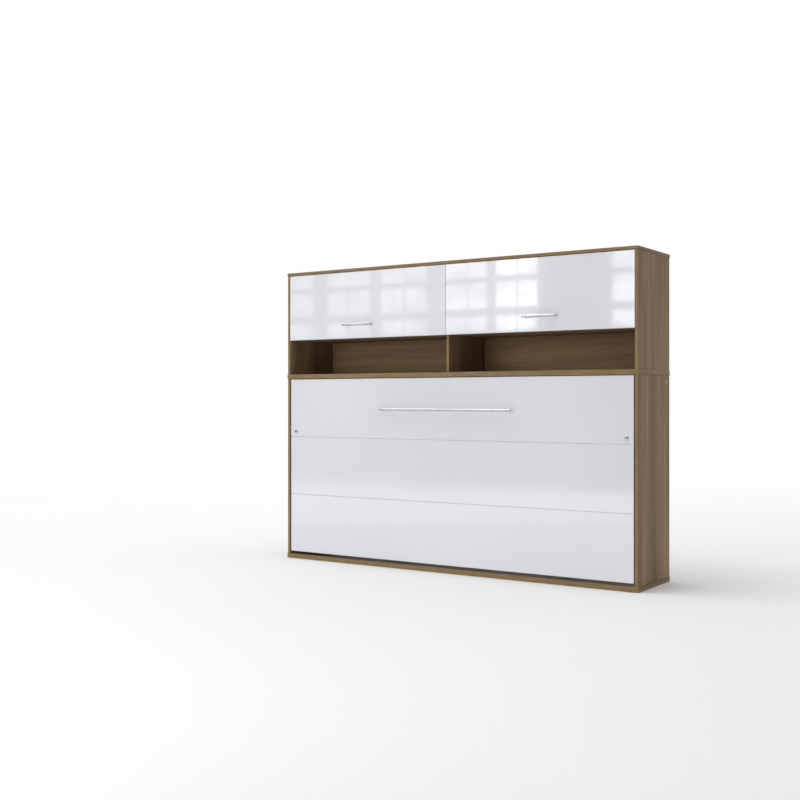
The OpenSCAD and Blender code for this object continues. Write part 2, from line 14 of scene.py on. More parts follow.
import bmesh
import bpy
import numpy as np
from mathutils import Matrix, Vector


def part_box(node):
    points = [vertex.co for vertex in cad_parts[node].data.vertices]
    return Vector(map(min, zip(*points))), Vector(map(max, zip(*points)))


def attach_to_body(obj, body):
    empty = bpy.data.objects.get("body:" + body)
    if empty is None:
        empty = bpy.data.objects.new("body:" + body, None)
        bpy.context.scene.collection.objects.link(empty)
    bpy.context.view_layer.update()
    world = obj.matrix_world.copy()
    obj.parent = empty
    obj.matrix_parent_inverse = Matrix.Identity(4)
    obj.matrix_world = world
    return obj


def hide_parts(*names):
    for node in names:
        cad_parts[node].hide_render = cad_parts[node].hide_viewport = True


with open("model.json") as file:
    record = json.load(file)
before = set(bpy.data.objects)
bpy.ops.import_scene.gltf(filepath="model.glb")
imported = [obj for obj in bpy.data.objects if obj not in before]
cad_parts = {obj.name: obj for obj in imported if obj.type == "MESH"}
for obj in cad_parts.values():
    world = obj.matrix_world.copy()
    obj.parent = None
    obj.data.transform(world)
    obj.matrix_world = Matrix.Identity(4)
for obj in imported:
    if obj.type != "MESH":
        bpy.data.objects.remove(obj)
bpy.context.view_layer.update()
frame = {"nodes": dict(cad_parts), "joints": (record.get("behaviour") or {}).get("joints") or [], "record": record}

MM = 0.001
record = frame["record"]

# %% [markdown]
# ## A few words for shader maths
#
# A material in Blender is a graph of nodes. Written out by hand, a sum of two values takes three
# lines: make a Math node, link one socket, link the other. A small class that wraps a socket and
# answers to + and * lets a finish be written as the expression that it is. Every other node
# comes from one method, which sets the node's own options first and then feeds its sockets.

# %% Wire and Finish
class Wire:
    """One output socket. Arithmetic on wires adds the Math nodes that work it out."""

    def __init__(self, finish, socket):
        self.finish = finish
        self.socket = socket

    def math(self, operation, *values):
        return self.finish.node("ShaderNodeMath", {"operation": operation}, dict(enumerate(values)))

    def __add__(self, other):
        return self.math("ADD", self, other)

    def __sub__(self, other):
        return self.math("SUBTRACT", self, other)

    def __rsub__(self, other):
        return self.math("SUBTRACT", other, self)

    def __mul__(self, other):
        return self.math("MULTIPLY", self, other)

    def __lt__(self, other):
        return self.math("LESS_THAN", self, other)

    def __gt__(self, other):
        return self.math("GREATER_THAN", self, other)

    __radd__ = __add__


class Finish:
    """A material that is being built up from nodes around one Principled shader."""

    def __init__(self, name, **constants):
        self.material = bpy.data.materials.new(name)
        self.material.use_nodes = True
        self.tree = self.material.node_tree
        self.shader = self.tree.nodes["Principled BSDF"]
        for socket, value in constants.items():
            self.feed(socket.replace("_", " "), value)

    def node(self, kind, settings=None, inputs=None, output=0):
        made = self.tree.nodes.new(kind)
        for key, value in (settings or {}).items():
            if key == "stops":
                self.set_stops(made.color_ramp, value)
            else:
                setattr(made, key, value)
        for key, value in (inputs or {}).items():
            self.join(made.inputs[key], value)
        return Wire(self, made.outputs[output])

    def set_stops(self, ramp, stops):
        while len(ramp.elements) < len(stops):
            ramp.elements.new(0.5)
        for element, (place, colour) in zip(ramp.elements, stops):
            element.position = place
            element.color = (*colour, 1)

    def join(self, socket, value):
        if isinstance(value, Wire):
            self.tree.links.new(value.socket, socket)
        elif isinstance(value, tuple) and len(value) == 3 and socket.type == "RGBA":
            socket.default_value = (*value, 1)
        else:
            socket.default_value = value

    def feed(self, socket, value):
        self.join(self.shader.inputs[socket], value)

    def place(self):
        """Where a point is on the object, in metres."""
        return self.node("ShaderNodeTexCoord", output="Object")

    def axis(self, place, letter):
        return self.node("ShaderNodeSeparateXYZ", inputs={0: place}, output=letter)

    def stretched(self, place, scale, shift=(0, 0, 0)):
        settings = {"Vector": place, "Scale": scale, "Location": shift}
        return self.node("ShaderNodeMapping", inputs=settings)

    def noise(self, place, scale, detail=2.0, roughness=0.5):
        settings = {"Vector": place, "Scale": scale, "Detail": detail, "Roughness": roughness}
        return self.node("ShaderNodeTexNoise", inputs=settings)

    def ramp(self, value, *stops):
        return self.node("ShaderNodeValToRGB", {"stops": stops}, {0: value})

    def blend(self, factor, one, other, way="MIX"):
        settings = {"data_type": "RGBA", "blend_type": way}
        return self.node("ShaderNodeMix", settings, {0: factor, 6: one, 7: other}, output=2)

    def between(self, value, low, high, start=0.0, end=1.0):
        """value carried from the range low..high to start..end, and held at both ends."""
        settings = {"Value": value, 1: low, 2: high, 3: start, 4: end}
        return self.node("ShaderNodeMapRange", {"clamp": True}, settings)

    def done(self, colour, roughness, height, distance, strength):
        """Feeds what every finish has: a colour, a roughness and a bump."""
        self.feed("Base Color", colour)
        self.feed("Roughness", roughness)
        settings = {"Height": height, "Distance": distance, "Strength": strength}
        self.feed("Normal", self.node("ShaderNodeBump", inputs=settings))
        return self.material


print("a finish is written as", Finish.__name__, "and the sums in it as", Wire.__name__)

# %% [markdown]
# ## Printed oak
#
# The carcass is chipboard with a printed oak film. The print has three sizes of pattern: soft
# bands as wide as a hand, fine lines along the grain, and short dark pores. Each is noise that
# is squeezed along the grain, so the same recipe serves a board of any size. The thin band
# glued on each front edge is lighter and warmer than the faces. Every board gets its own shift,
# so that no two boards repeat each other's print.

# %% The oak film
ALONG = {"X": (0.45, 8.0, 8.0), "Y": (8.0, 0.45, 8.0), "Z": (8.0, 8.0, 0.45)}
OAK_DARK, OAK_MID, OAK_LIGHT = (0.147, 0.090, 0.045), (0.240, 0.154, 0.083), (0.356, 0.243, 0.143)
BAND_DARK, BAND_LIGHT = (0.176, 0.114, 0.049), (0.285, 0.196, 0.098)
BAND_DEPTH = 0.7 * MM


def oak(name, along, shift, front=None, end=None):
    """Film with the grain along one axis. front is the height in Y of the front edge, whose band
    is lighter; end is the distance in X past which the grain turns to run along Y."""
    finish = Finish(name, Specular_IOR_Level=0.3)
    spot = finish.place()
    grain = finish.stretched(spot, ALONG[along], shift)
    if end is not None:
        turned = finish.stretched(spot, ALONG["Y"], shift)
        across = finish.axis(spot, "X")
        grain = finish.blend(across.math("ABSOLUTE", across) > end, grain, turned)
    bands = finish.noise(grain, 1.6, 3.0, 0.55)
    lines = finish.noise(grain, 34.0, 4.0, 0.65)
    pores = finish.noise(grain, 150.0, 2.0, 0.6)
    tone = bands * 0.62 + lines * 0.38
    face = finish.ramp(tone, (0.34, OAK_DARK), (0.50, OAK_MID), (0.66, OAK_LIGHT))
    dots = finish.between(pores, 0.60, 0.72)
    face = finish.blend(dots * 0.45, face, OAK_DARK)
    if front is not None:
        banded = finish.ramp(lines, (0.35, BAND_DARK), (0.65, BAND_LIGHT))
        face = finish.blend(finish.axis(spot, "Y") < front + BAND_DEPTH, face, banded)
    return finish.done(face, 0.50 + lines * 0.16 - dots * 0.05,
                       lines * 0.5 - dots * 0.5, 0.15 * MM, 0.35)


print("printed oak in three tones, from", OAK_DARK, "to", OAK_LIGHT)

# %% [markdown]
# ## Gloss lacquer, chrome and paint
#
# The white fronts are high-gloss board: a hard clear layer over an even white. What tells gloss
# lacquer from a mirror is a very faint waviness in the reflection, so the bump is low and wide.
# Chrome keeps the fine marks of its polishing, and powder paint has an orange-peel skin. In all
# of them the roughness changes a little from place to place, as a hand and a cloth leave it.

# %% Lacquer
def lacquer(name):
    """White high-gloss board front."""
    finish = Finish(name, Coat_Weight=1.0, Coat_Roughness=0.02, Coat_IOR=1.5, IOR=1.46)
    spot = finish.place()
    cloud = finish.noise(spot, 1.3, 3.0)
    wave = finish.noise(spot, 9.0, 2.0)
    peel = finish.noise(spot, 320.0, 2.0)
    wiped = finish.noise(finish.stretched(spot, (2.0, 2.0, 14.0)), 2.2, 4.0, 0.6)
    white = finish.ramp(cloud, (0.3, (0.690, 0.705, 0.745)), (0.7, (0.74, 0.748, 0.775)))
    return finish.done(white, finish.between(wiped, 0.35, 0.75, 0.07, 0.17),
                       wave * 0.9 + peel * 0.1, 0.25 * MM, 0.05)


def chrome(name, along):
    """Polished chrome with fine marks round the bar, whose length runs along an axis."""
    marks = {"X": (40.0, 1.0, 1.0), "Y": (1.0, 40.0, 1.0), "Z": (1.0, 1.0, 40.0)}[along]
    finish = Finish(name, Metallic=1.0)
    spot = finish.place()
    lines = finish.noise(finish.stretched(spot, marks), 60.0, 3.0)
    haze = finish.noise(spot, 25.0, 2.0)
    metal = finish.ramp(haze, (0.3, (0.50, 0.505, 0.52)), (0.7, (0.60, 0.605, 0.615)))
    return finish.done(metal, finish.between(lines * 0.6 + haze * 0.4, 0.3, 0.7, 0.08, 0.16),
                       lines, 0.01 * MM, 0.15)


def paint(name, dark, light, rough=0.42, metallic=0.0):
    """Powder paint or zinc: an orange-peel skin, cloudy and a little worn."""
    finish = Finish(name, Metallic=metallic)
    spot = finish.place()
    cloud = finish.noise(spot, 18.0, 4.0, 0.6)
    peel = finish.noise(spot, 900.0, 1.0)
    rubbed = finish.noise(finish.stretched(spot, (3.0, 3.0, 3.0), (0.2, 0.4, 0.1)), 30.0, 5.0, 0.7)
    return finish.done(finish.ramp(cloud * 0.7 + rubbed * 0.3, (0.32, dark), (0.68, light)),
                       finish.between(rubbed, 0.3, 0.75, rough - 0.08, rough + 0.14),
                       peel, 0.12 * MM, 0.25)


lacquer_white = lacquer("lacquer_white")
chrome_x, chrome_y, chrome_z = (chrome("chrome_" + axis.lower(), axis) for axis in "XYZ")
steel_grey = paint("steel_grey", (0.085, 0.088, 0.095), (0.14, 0.142, 0.15))
frame_grey = paint("frame_grey", (0.24, 0.245, 0.255), (0.34, 0.345, 0.35))
black_gloss = paint("black_gloss", (0.012, 0.012, 0.014), (0.03, 0.03, 0.032), 0.25)
zinc = paint("zinc", (0.46, 0.46, 0.45), (0.66, 0.66, 0.63), 0.38, 1.0)
print("gloss and metal finishes ready")

# %% [markdown]
# ## Plastic, rubber, beech and stained wood
#
# Small fittings are moulded, with a fine spark-eroded skin. The slats are beech glued up in
# layers, pale with short flecks. The blocks near the wall are dark stained softwood.

# %% Moulded and wooden finishes
def moulded(name, dark, light, rough):
    """Injection-moulded plastic or rubber with a fine even skin."""
    finish = Finish(name, IOR=1.45)
    spot = finish.place()
    skin = finish.noise(spot, 1400.0, 1.0)
    cloud = finish.noise(spot, 45.0, 3.0)
    return finish.done(finish.ramp(cloud, (0.3, dark), (0.7, light)),
                       finish.between(cloud, 0.3, 0.7, rough - 0.06, rough + 0.08),
                       skin, 0.08 * MM, 0.4)


def timber(name, along, dark, light, fleck):
    """Plain timber: growth lines along one axis and short flecks of the wood's rays."""
    finish = Finish(name)
    spot = finish.place()
    grain = finish.stretched(spot, ALONG[along])
    lines = finish.noise(grain, 14.0, 5.0, 0.6)
    rays = finish.between(finish.noise(grain, 75.0, 2.0), 0.58, 0.70)
    face = finish.ramp(lines, (0.30, dark), (0.70, light))
    return finish.done(finish.blend(rays * 0.5, face, fleck), 0.45 + lines * 0.2,
                       lines - rays * 0.3, 0.2 * MM, 0.4)


cap_plastic = moulded("cap_plastic", (0.52, 0.48, 0.42), (0.62, 0.58, 0.52), 0.42)
black_plastic = moulded("black_plastic", (0.016, 0.016, 0.017), (0.035, 0.035, 0.036), 0.45)
buffer_rubber = moulded("buffer_rubber", (0.02, 0.018, 0.017), (0.045, 0.042, 0.04), 0.7)
beech = timber("beech", "Z", (0.46, 0.30, 0.165), (0.64, 0.46, 0.28), (0.36, 0.22, 0.12))
stained = timber("stained", "X", (0.022, 0.016, 0.012), (0.06, 0.045, 0.033), (0.012, 0.009, 0.007))
print("moulded and timber finishes ready")

# %% [markdown]
# ## Mattress cloth and webbing
#
# The mattress wears a knitted cover. Its loops are about three millimetres apart, so a pair of
# crossed sine waves makes the bump, and broader noise makes the cover a little uneven. Webbing
# is a flat weave with a diagonal twill, which two waves across each other draw as well.

# %% Cloth finishes
def waves(finish, place, direction, pitch):
    """A sine from 0 to 1 that repeats every pitch metres along a direction."""
    along = finish.node("ShaderNodeVectorMath", {"operation": "DOT_PRODUCT"},
                        {0: place, 1: direction}, output="Value")
    turns = along * (2 * math.pi / pitch)
    return turns.math("SINE", turns) * 0.5 + 0.5


def knit(name):
    """Knitted mattress cover in warm white."""
    finish = Finish(name, Sheen_Weight=0.25, Sheen_Roughness=0.5, Specular_IOR_Level=0.25)
    spot = finish.place()
    loops = waves(finish, spot, (1, 0, 0), 3.0 * MM) * waves(finish, spot, (0, 0.7, 0.7), 2.4 * MM)
    uneven = finish.noise(spot, 7.0, 4.0, 0.6)
    fuzz = finish.noise(spot, 700.0, 2.0, 0.7)
    tone = uneven * 0.5 + loops * 0.3 + fuzz * 0.2
    wool = finish.ramp(tone, (0.25, (0.60, 0.585, 0.545)), (0.75, (0.80, 0.79, 0.755)))
    return finish.done(wool, 0.82 + fuzz * 0.12, loops * 0.7 + fuzz * 0.3, 0.5 * MM, 0.5)


def weave(name, dark, light, pitch):
    """Flat woven tape with a diagonal twill."""
    finish = Finish(name, Specular_IOR_Level=0.3)
    spot = finish.place()
    one_way = waves(finish, spot, (0.7, 0.7, 0.7), pitch)
    twill = one_way * waves(finish, spot, (0.7, -0.7, -0.7), pitch)
    fuzz = finish.noise(spot, 900.0, 2.0)
    return finish.done(finish.ramp(twill * 0.7 + fuzz * 0.3, (0.1, dark), (0.8, light)),
                       0.65 + fuzz * 0.2, twill, 0.4 * MM, 0.6)


cover_knit = knit("cover_knit")
piping_weave = weave("piping_weave", (0.20, 0.21, 0.23), (0.34, 0.35, 0.37), 1.6 * MM)
strap_weave = weave("strap_weave", (0.012, 0.012, 0.014), (0.06, 0.06, 0.065), 2.2 * MM)
print("cloth finishes ready")

# %% [markdown]
# ## From arrays to a mesh
#
# Every new shape below is an array of points and an array of faces. Rings of points joined to
# their neighbours cover most of this object: a board, a turned bar and a strap are all rings.
# One function closes the mesh, turns its faces outwards, and marks the edges that stay sharp.

# %% Rings, groups and pieces
def rings(points, closed_path=False):
    """Joins rings of points, given as an array (rings, points in a ring, 3), into a skin of
    quads. Unless the path of rings is closed, the first and the last ring are filled."""
    count, size = points.shape[:2]
    spans = count if closed_path else count - 1
    i, j = np.meshgrid(np.arange(spans), np.arange(size), indexing="ij")
    near, far = i * size, (i + 1) % count * size
    turn = (j + 1) % size
    quads = np.stack([near + j, near + turn, far + turn, far + j], -1).reshape(-1, 4).tolist()
    if not closed_path:
        quads += [list(range(size))[::-1], list(range((count - 1) * size, count * size))]
    return points.reshape(-1, 3), quads


def group(*shapes):
    """Several shapes as one, their faces renumbered."""
    points, faces, start = [], [], 0
    for shape_points, shape_faces in shapes:
        points.append(shape_points)
        faces += [[start + index for index in face] for face in shape_faces]
        start += len(shape_points)
    return np.concatenate(points), faces


def linked(name, data):
    """A new object at the origin, in the scene."""
    made = bpy.data.objects.new(name, data)
    bpy.context.scene.collection.objects.link(made)
    return made


def values_of(items, name, width=1, kind=float):
    """One property of a mesh's points, edges, corners or faces as an array."""
    values = np.zeros(len(items) * width, kind)
    items.foreach_get(name, values)
    return values.reshape(-1, width) if width > 1 else values


def settle(mesh, keep_apart=1e-6):
    """Welds points that coincide, drops empty faces and turns the skin outwards."""
    work = bmesh.new()
    work.from_mesh(mesh)
    bmesh.ops.remove_doubles(work, verts=work.verts, dist=keep_apart)
    bmesh.ops.dissolve_degenerate(work, edges=work.edges, dist=keep_apart)
    bmesh.ops.recalc_face_normals(work, faces=work.faces)
    work.to_mesh(mesh)
    work.free()


def soften(mesh, sharp_degrees):
    """Smooth shading, with the edges above an angle left sharp."""
    mesh.polygons.foreach_set("use_smooth", np.ones(len(mesh.polygons), bool))
    mesh.set_sharp_from_angle(angle=math.radians(sharp_degrees))
    mesh.update()


node_body = {node: body for body, nodes in record["behaviour"]["bodies"].items() for node in nodes}


def attach(piece, material, nodes):
    """Paints a piece, lets it ride on its nodes' body and stand for them."""
    piece.data.materials.clear()
    piece.data.materials.append(material)
    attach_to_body(piece, node_body[nodes[0]])
    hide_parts(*nodes)
    return piece


def piece_from(name, shape, material, *nodes, sharp=35):
    """A finished piece from a shape, in place of the named parts of the model."""
    points, faces = shape
    mesh = bpy.data.meshes.new(name)
    mesh.from_pydata(points, [], faces)
    settle(mesh)
    soften(mesh, sharp)
    return attach(linked(name, mesh), material, nodes)


# %% [markdown]
# ## Boards with eased edges
#
# No real board ends in a perfect corner: the edge band is rounded by about a millimetre, and
# that rounding is what catches the light. A rounded box has a simple formula. Take a unit
# sphere, scale it to the edge radius, and move each eighth of it to its own corner of the
# smaller box that is left inside.

# %% Rounded boards
def rounded_box(low, high, radius, steps=3):
    """Point(u, v) = inner corner + radius * (cos v cos u, cos v sin u, sin v), where the inner
    corner is the one on the same side as that direction."""
    low, high = np.array(low, float), np.array(high, float)
    middle, inner = (low + high) / 2, (high - low) / 2 - radius
    quarter = np.linspace(0, math.pi / 2, steps + 1)
    u = np.concatenate([quarter + k * math.pi / 2 for k in range(4)])
    sign_x = np.repeat([1, -1, -1, 1], steps + 1)
    sign_y = np.repeat([1, 1, -1, -1], steps + 1)
    v = np.concatenate([quarter - math.pi / 2, quarter])
    sign_z = np.repeat([-1, 1], steps + 1)
    x = inner[0] * sign_x + radius * np.cos(v)[:, None] * np.cos(u)
    y = inner[1] * sign_y + radius * np.cos(v)[:, None] * np.sin(u)
    z = np.broadcast_to((inner[2] * sign_z + radius * np.sin(v))[:, None], x.shape)
    return rings(middle + np.stack([x, y, z], -1))


def keep_flats_flat(mesh):
    """Smooth shading would bend the light on a big face towards its rounded edges. The normal
    at a point becomes the sum of its faces' normals, each times its face's area, so that the
    big face wins."""
    faces = mesh.polygons
    weighted = values_of(faces, "normal", 3) * values_of(faces, "area")[:, None]
    corners = values_of(mesh.loops, "vertex_index", kind=int)
    total = np.zeros((len(mesh.vertices), 3))
    np.add.at(total, corners, np.repeat(weighted, values_of(faces, "loop_total", kind=int), axis=0))
    total /= np.linalg.norm(total, axis=1, keepdims=True)
    mesh.normals_split_custom_set_from_vertices(total.tolist())


def board(node, material, edge=1.0 * MM):
    """The eased board that stands for a board of the model."""
    low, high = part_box(node)
    made = piece_from("look_" + node, rounded_box(low, high, edge), material, node)
    keep_flats_flat(made.data)


GRAIN = {
    "bottom_board": "X", "middle_board": "X", "top_board": "X",
    "lower_left_side": "Z", "lower_right_side": "Z", "upper_left_side": "Z",
    "upper_right_side": "Z", "centre_divider": "Z", "left_shelf": "X", "right_shelf": "X",
    "upper_back_panel": "X", "rear_rail": "X",
}
side_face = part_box("lower_right_side")[1].x
for count, (node, along) in enumerate(GRAIN.items()):
    front = None if node in ("upper_back_panel", "rear_rail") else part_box(node)[0].y
    end = side_face + 0.5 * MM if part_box(node)[1].x > side_face + 1 * MM else None
    film = oak("oak_" + node, along, (1.7 * count, 0.9 * count, 0.37 * count), front, end)
    board(node, film)
print(len(GRAIN), "boards eased and veneered")

# %% [markdown]
# ## The white fronts
#
# The joints between the three boards of the bed front show as thin lines, so the easing of
# their edges matters most. Two of them are plain rectangles. The upper one has holes for the
# legs and the handle's screws, and the flaps have pockets for their hinges, which a box formula
# doesn't know. Those start as a copy of the model's own mesh: its loose triangles are welded
# and merged into flat faces, a Bevel modifier eases the edges, and a Weighted Normal modifier
# keeps the big faces shaded flat.

# %% Fronts and flaps
def eased_copy(node, material, width, segments=2):
    """A copy of a part's mesh with its triangles merged into faces and its edges bevelled."""
    mesh = frame["nodes"][node].data.copy()
    mesh.name = "look_" + node
    settle(mesh, 1e-5)
    work = bmesh.new()
    work.from_mesh(mesh)
    bmesh.ops.dissolve_limit(work, angle_limit=math.radians(1), verts=work.verts, edges=work.edges)
    work.to_mesh(mesh)
    work.free()
    soften(mesh, 35)
    piece = linked("look_" + node, mesh)
    bevel = piece.modifiers.new("eased", "BEVEL")
    bevel.width, bevel.segments = width, segments
    bevel.limit_method, bevel.angle_limit = "ANGLE", math.radians(30)
    flat = piece.modifiers.new("flat", "WEIGHTED_NORMAL")
    flat.weight, flat.keep_sharp = 100, True
    attach(piece, material, [node])


LACQUER_EDGE = 0.8 * MM
for node in ("front_board_lower", "front_board_middle"):
    board(node, lacquer_white, LACQUER_EDGE)
for node in ("front_board_upper", "left_flap_door", "right_flap_door"):
    eased_copy(node, lacquer_white, LACQUER_EDGE)
print("three bed fronts and two flaps lacquered")

# %% [markdown]
# ## Turned parts
#
# Bars, posts, feet, buffers and gas springs are all turned: a profile of radius against length,
# spun round an axis. The profile is drawn with sharp corners and then every corner is cut by a
# fraction of a millimetre, which is how a lathe operator breaks an edge.

# %% Spinning a profile
def broken(profile, cut):
    """Replaces every inner corner of a profile by two points, cut back along both sides."""
    profile = np.array(profile, float)
    pairs = []
    for side in (profile[:-2] - profile[1:-1], profile[2:] - profile[1:-1]):
        length = np.linalg.norm(side, axis=1)[:, None]
        pairs.append(profile[1:-1] + side / length * np.minimum(cut, 0.45 * length))
    inner = np.stack(pairs, 1).reshape(-1, 2)
    return np.concatenate([profile[:1], inner, profile[-1:]])


def turned(profile, start, direction, cut=0.5 * MM, around=48):
    """Point(s, t) = start + length(s) * direction + radius(s) * (cos t * a + sin t * b), where
    a and b stand square to the direction."""
    profile = broken(profile, cut)
    direction = np.array(direction, float) / np.linalg.norm(direction)
    helper = np.array([0.0, 0.0, 1.0]) if abs(direction[2]) < 0.9 else np.array([1.0, 0.0, 0.0])
    a = np.cross(helper, direction)
    a /= np.linalg.norm(a)
    b = np.cross(direction, a)
    t = np.linspace(0, 2 * math.pi, around, endpoint=False)
    circle = np.cos(t)[:, None] * a + np.sin(t)[:, None] * b
    spine = np.array(start, float) + profile[:, 1:] * direction
    return rings(spine[:, None] + profile[:, :1, None] * circle)


print("a broken corner:", broken([(0, 0), (5, 0), (5, 9), (0, 9)], 0.5)[1:3].tolist())

# %% [markdown]
# ## Bar handles
#
# Each handle is a chromed tube on two posts. A pair of rings grips the bar on both sides of each
# post, the bar's ends are rounded off, and each post stands on a small round rose.

# %% Handles
RING_LIFT = 1.5 * MM
ROSE_RADIUS = 7 * MM
POST_INSET = 18 * MM
bar_low, bar_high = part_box("bed_handle_bar")
bar_radius = (bar_high.z - bar_low.z) / 2 - RING_LIFT
bar_y, bar_z = bar_low.y + bar_radius + RING_LIFT, (bar_low.z + bar_high.z) / 2
bed_face, flap_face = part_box("front_board_lower")[0].y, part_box("left_flap_door")[0].y


def bar_shape(low_x, high_x, z, posts):
    """A bar along X with a ring on each side of every post."""
    tip, ring, slope, off_post = 2.0 * MM, 3.0 * MM, 0.3 * MM, 7.5 * MM
    rim = bar_radius + RING_LIFT
    profile = [(0, 0), (bar_radius - tip, 0), (bar_radius, tip)]
    for post in posts:
        for side in (-1, 1):
            near = post - low_x + side * off_post - ring / 2
            profile += [(bar_radius, near), (rim, near + slope)]
            profile += [(rim, near + ring - slope), (bar_radius, near + ring)]
    length = high_x - low_x
    profile += [(bar_radius, length - tip), (bar_radius - tip, length), (0, length)]
    return turned(profile, (low_x, bar_y, z), (1, 0, 0), 0.3 * MM)


def post_shapes(places, face, z):
    """Posts from a front's face to the bar, each with a rose, a waist and a neck."""
    reach, waist, neck = face - bar_y, 4.2 * MM, 5.2 * MM
    profile = [(0, 0), (ROSE_RADIUS, 0), (ROSE_RADIUS, 2.5 * MM), (5 * MM, 4 * MM),
               (waist, 7 * MM), (waist, reach - 8 * MM), (neck, reach - 5 * MM),
               (neck, reach - 1 * MM), (0, reach - 1 * MM)]
    return [turned(profile, (x, face, z), (0, -1, 0), 0.4 * MM) for x in places]


post_low, post_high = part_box("bed_handle_posts")
bed_posts = [post_low.x + ROSE_RADIUS, post_high.x - ROSE_RADIUS]
piece_from("look_bed_handle_bar", bar_shape(bar_low.x, bar_high.x, bar_z, bed_posts),
           chrome_x, "bed_handle_bar")
piece_from("look_bed_handle_posts", group(*post_shapes(bed_posts, bed_face, bar_z)),
           chrome_y, "bed_handle_posts")
for node in ("left_flap_handle", "right_flap_handle"):
    low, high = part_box(node)
    z = (low.z + high.z) / 2
    posts = [low.x + POST_INSET, high.x - POST_INSET]
    shapes = [bar_shape(low.x, high.x, z, posts), *post_shapes(posts, flap_face, z)]
    piece_from("look_" + node, group(*shapes), chrome_x, node)
print("handles:", len(bed_posts) + 4, "posts, bar radius", round(bar_radius / MM, 1), "mm")

# %% [markdown]
# ## Legs
#
# Two legs slide in the bed's end rails and drop out when the bed comes down. Folded up, only
# their round feet show on the front. Each is a tube with a domed foot, so its profile runs up
# the outside, over the rim, down the bore and back to the axis.

# %% The two sliding legs
DOMED_FOOT = [(0, 0), (4, 0.3), (8, 1.2), (11, 2.6), (12, 4), (12, 6), (10, 6.4)]
TUBE_RADIUS, BORE_RADIUS, PLUG_END = 10 * MM, 8 * MM, 11 * MM
for node in ("left_leg", "right_leg"):
    low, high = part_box(node)
    length = high.y - low.y
    profile = [(radius * MM, place * MM) for radius, place in DOMED_FOOT]
    profile += [(TUBE_RADIUS, length), (BORE_RADIUS, length)]
    profile += [(BORE_RADIUS, PLUG_END), (0, PLUG_END)]
    foot = ((low.x + high.x) / 2, low.y, (low.z + high.z) / 2)
    piece_from("look_" + node, turned(profile, foot, (0, 1, 0), 0.4 * MM), chrome_y, node)
print("legs are", round(length, 3), "m long, tubes", round(2 * TUBE_RADIUS / MM), "mm thick")

# %% [markdown]
# ## Gas springs and flap struts
#
# A gas spring is a painted cylinder, a chromed rod, and an eye at each end. Where it stands and
# which way it points are already known: it swings about a joint of the model and slides along
# an axis. Only the lengths along that axis are read off here.

# %% Springs and struts
joints = {joint["name"]: joint for joint in frame["joints"]}


def eye_shape(centre, radius, hole, width):
    """A ring along X: its profile goes round the wall from bore to rim and back."""
    half_width = width / 2
    path = [(hole, -half_width), (radius, -half_width), (radius, half_width), (hole, half_width)]
    points, faces = turned([*path, path[0]], centre, (1, 0, 0), 0.4 * MM, 40)
    return points, faces[:-2]


def spring_shapes(base, axis, eye, stud, width, tube, bore_end, total):
    """The cylinder with its fixed eye, and the rod with its moving eye."""
    neck, rod_radius, throat = 0.6 * tube, 0.44 * tube, 0.62 * tube
    collar, collar_end, hidden = tube - 1 * MM, bore_end + 4 * MM, bore_end - 15 * MM
    body = [(0, 0.9 * eye), (neck, 0.9 * eye), (neck, 1.5 * eye), (tube, 1.8 * eye),
            (tube, bore_end), (collar, bore_end + 1.5 * MM), (collar, collar_end),
            (throat, collar_end), (throat, bore_end), (0, bore_end)]
    cylinder = group(turned(body, base, axis), eye_shape(base, eye, stud, width))
    rod = [(0, hidden), (rod_radius, hidden), (rod_radius, total - 2.0 * eye),
           (neck, total - 1.9 * eye), (neck, total - 0.8 * eye), (0, total - 0.8 * eye)]
    tip, pin, reach = base + total * axis, 0.36 * eye, 0.3 * width
    eye_end = eye_shape(tip, eye - 1 * MM, 0.35 * eye, width)
    plug = turned([(0, -reach), (pin, -reach), (pin, reach), (0, reach)], tip, (1, 0, 0))
    return cylinder, group(turned(rod, base, axis), eye_end, plug)


# Each kind: its joints' name, which way its stroke points, and its sizes
KINDS = {
    "gas_spring": ("spring", -1, dict(eye=9 * MM, stud=4.05 * MM, width=12 * MM, tube=9 * MM,
                                      bore_end=141 * MM, total=268.33 * MM)),
    "flap_strut": ("strut", 1, dict(eye=7.5 * MM, stud=3.05 * MM, width=8 * MM, tube=7.5 * MM,
                                    bore_end=106 * MM, total=164.69 * MM)),
}
for side in ("left", "right"):
    for kind, (word, way, sizes) in KINDS.items():
        base = np.array(joints[f"{side}_{word}_swing"]["pos_m"])
        axis = way * np.array(joints[f"{side}_{word}_stroke"]["axis"])
        cylinder, rod = spring_shapes(base, axis, **sizes)
        piece_from(f"look_{side}_{kind}_cylinder", cylinder, black_gloss, f"{side}_{kind}_cylinder")
        piece_from(f"look_{side}_{kind}_rod", rod, chrome_z, f"{side}_{kind}_rod")
print("two gas springs under the bed's ends and two struts behind the flaps")

# %% [markdown]
# ## Steel frame, brackets and hinges
#
# These parts are cut from tube and plate. Their model meshes already have every hole, so they
# only need what a real cut leaves: a rounded corner on the tubes, where the sheet was bent, and
# a barely broken edge on the plates.

# %% Tubes and plates
EASED = [
    (frame_grey, 0.9 * MM, 3, ["frame_top_rail", "frame_bottom_rail", "frame_left_end_rail",
                               "frame_right_end_rail", "frame_cross_rails"]),
    (steel_grey, 0.4 * MM, 2, ["left_pivot_bracket", "right_pivot_bracket", "left_pivot_plate",
                               "right_pivot_plate"]),
    (zinc, 0.3 * MM, 2, ["flap_hinge_arms", "left_strut_bracket", "right_strut_bracket"]),
    (black_plastic, 0.5 * MM, 2, ["slat_holders", "leg_bushes", "pivot_bushes"]),
    (stained, 1.5 * MM, 3, ["wall_blocks"]),
]
for finish, width, segments, nodes in EASED:
    for node in nodes:
        eased_copy(node, finish, width, segments)
print("frame of five rails, with brackets, plates, hinge arms and holders")
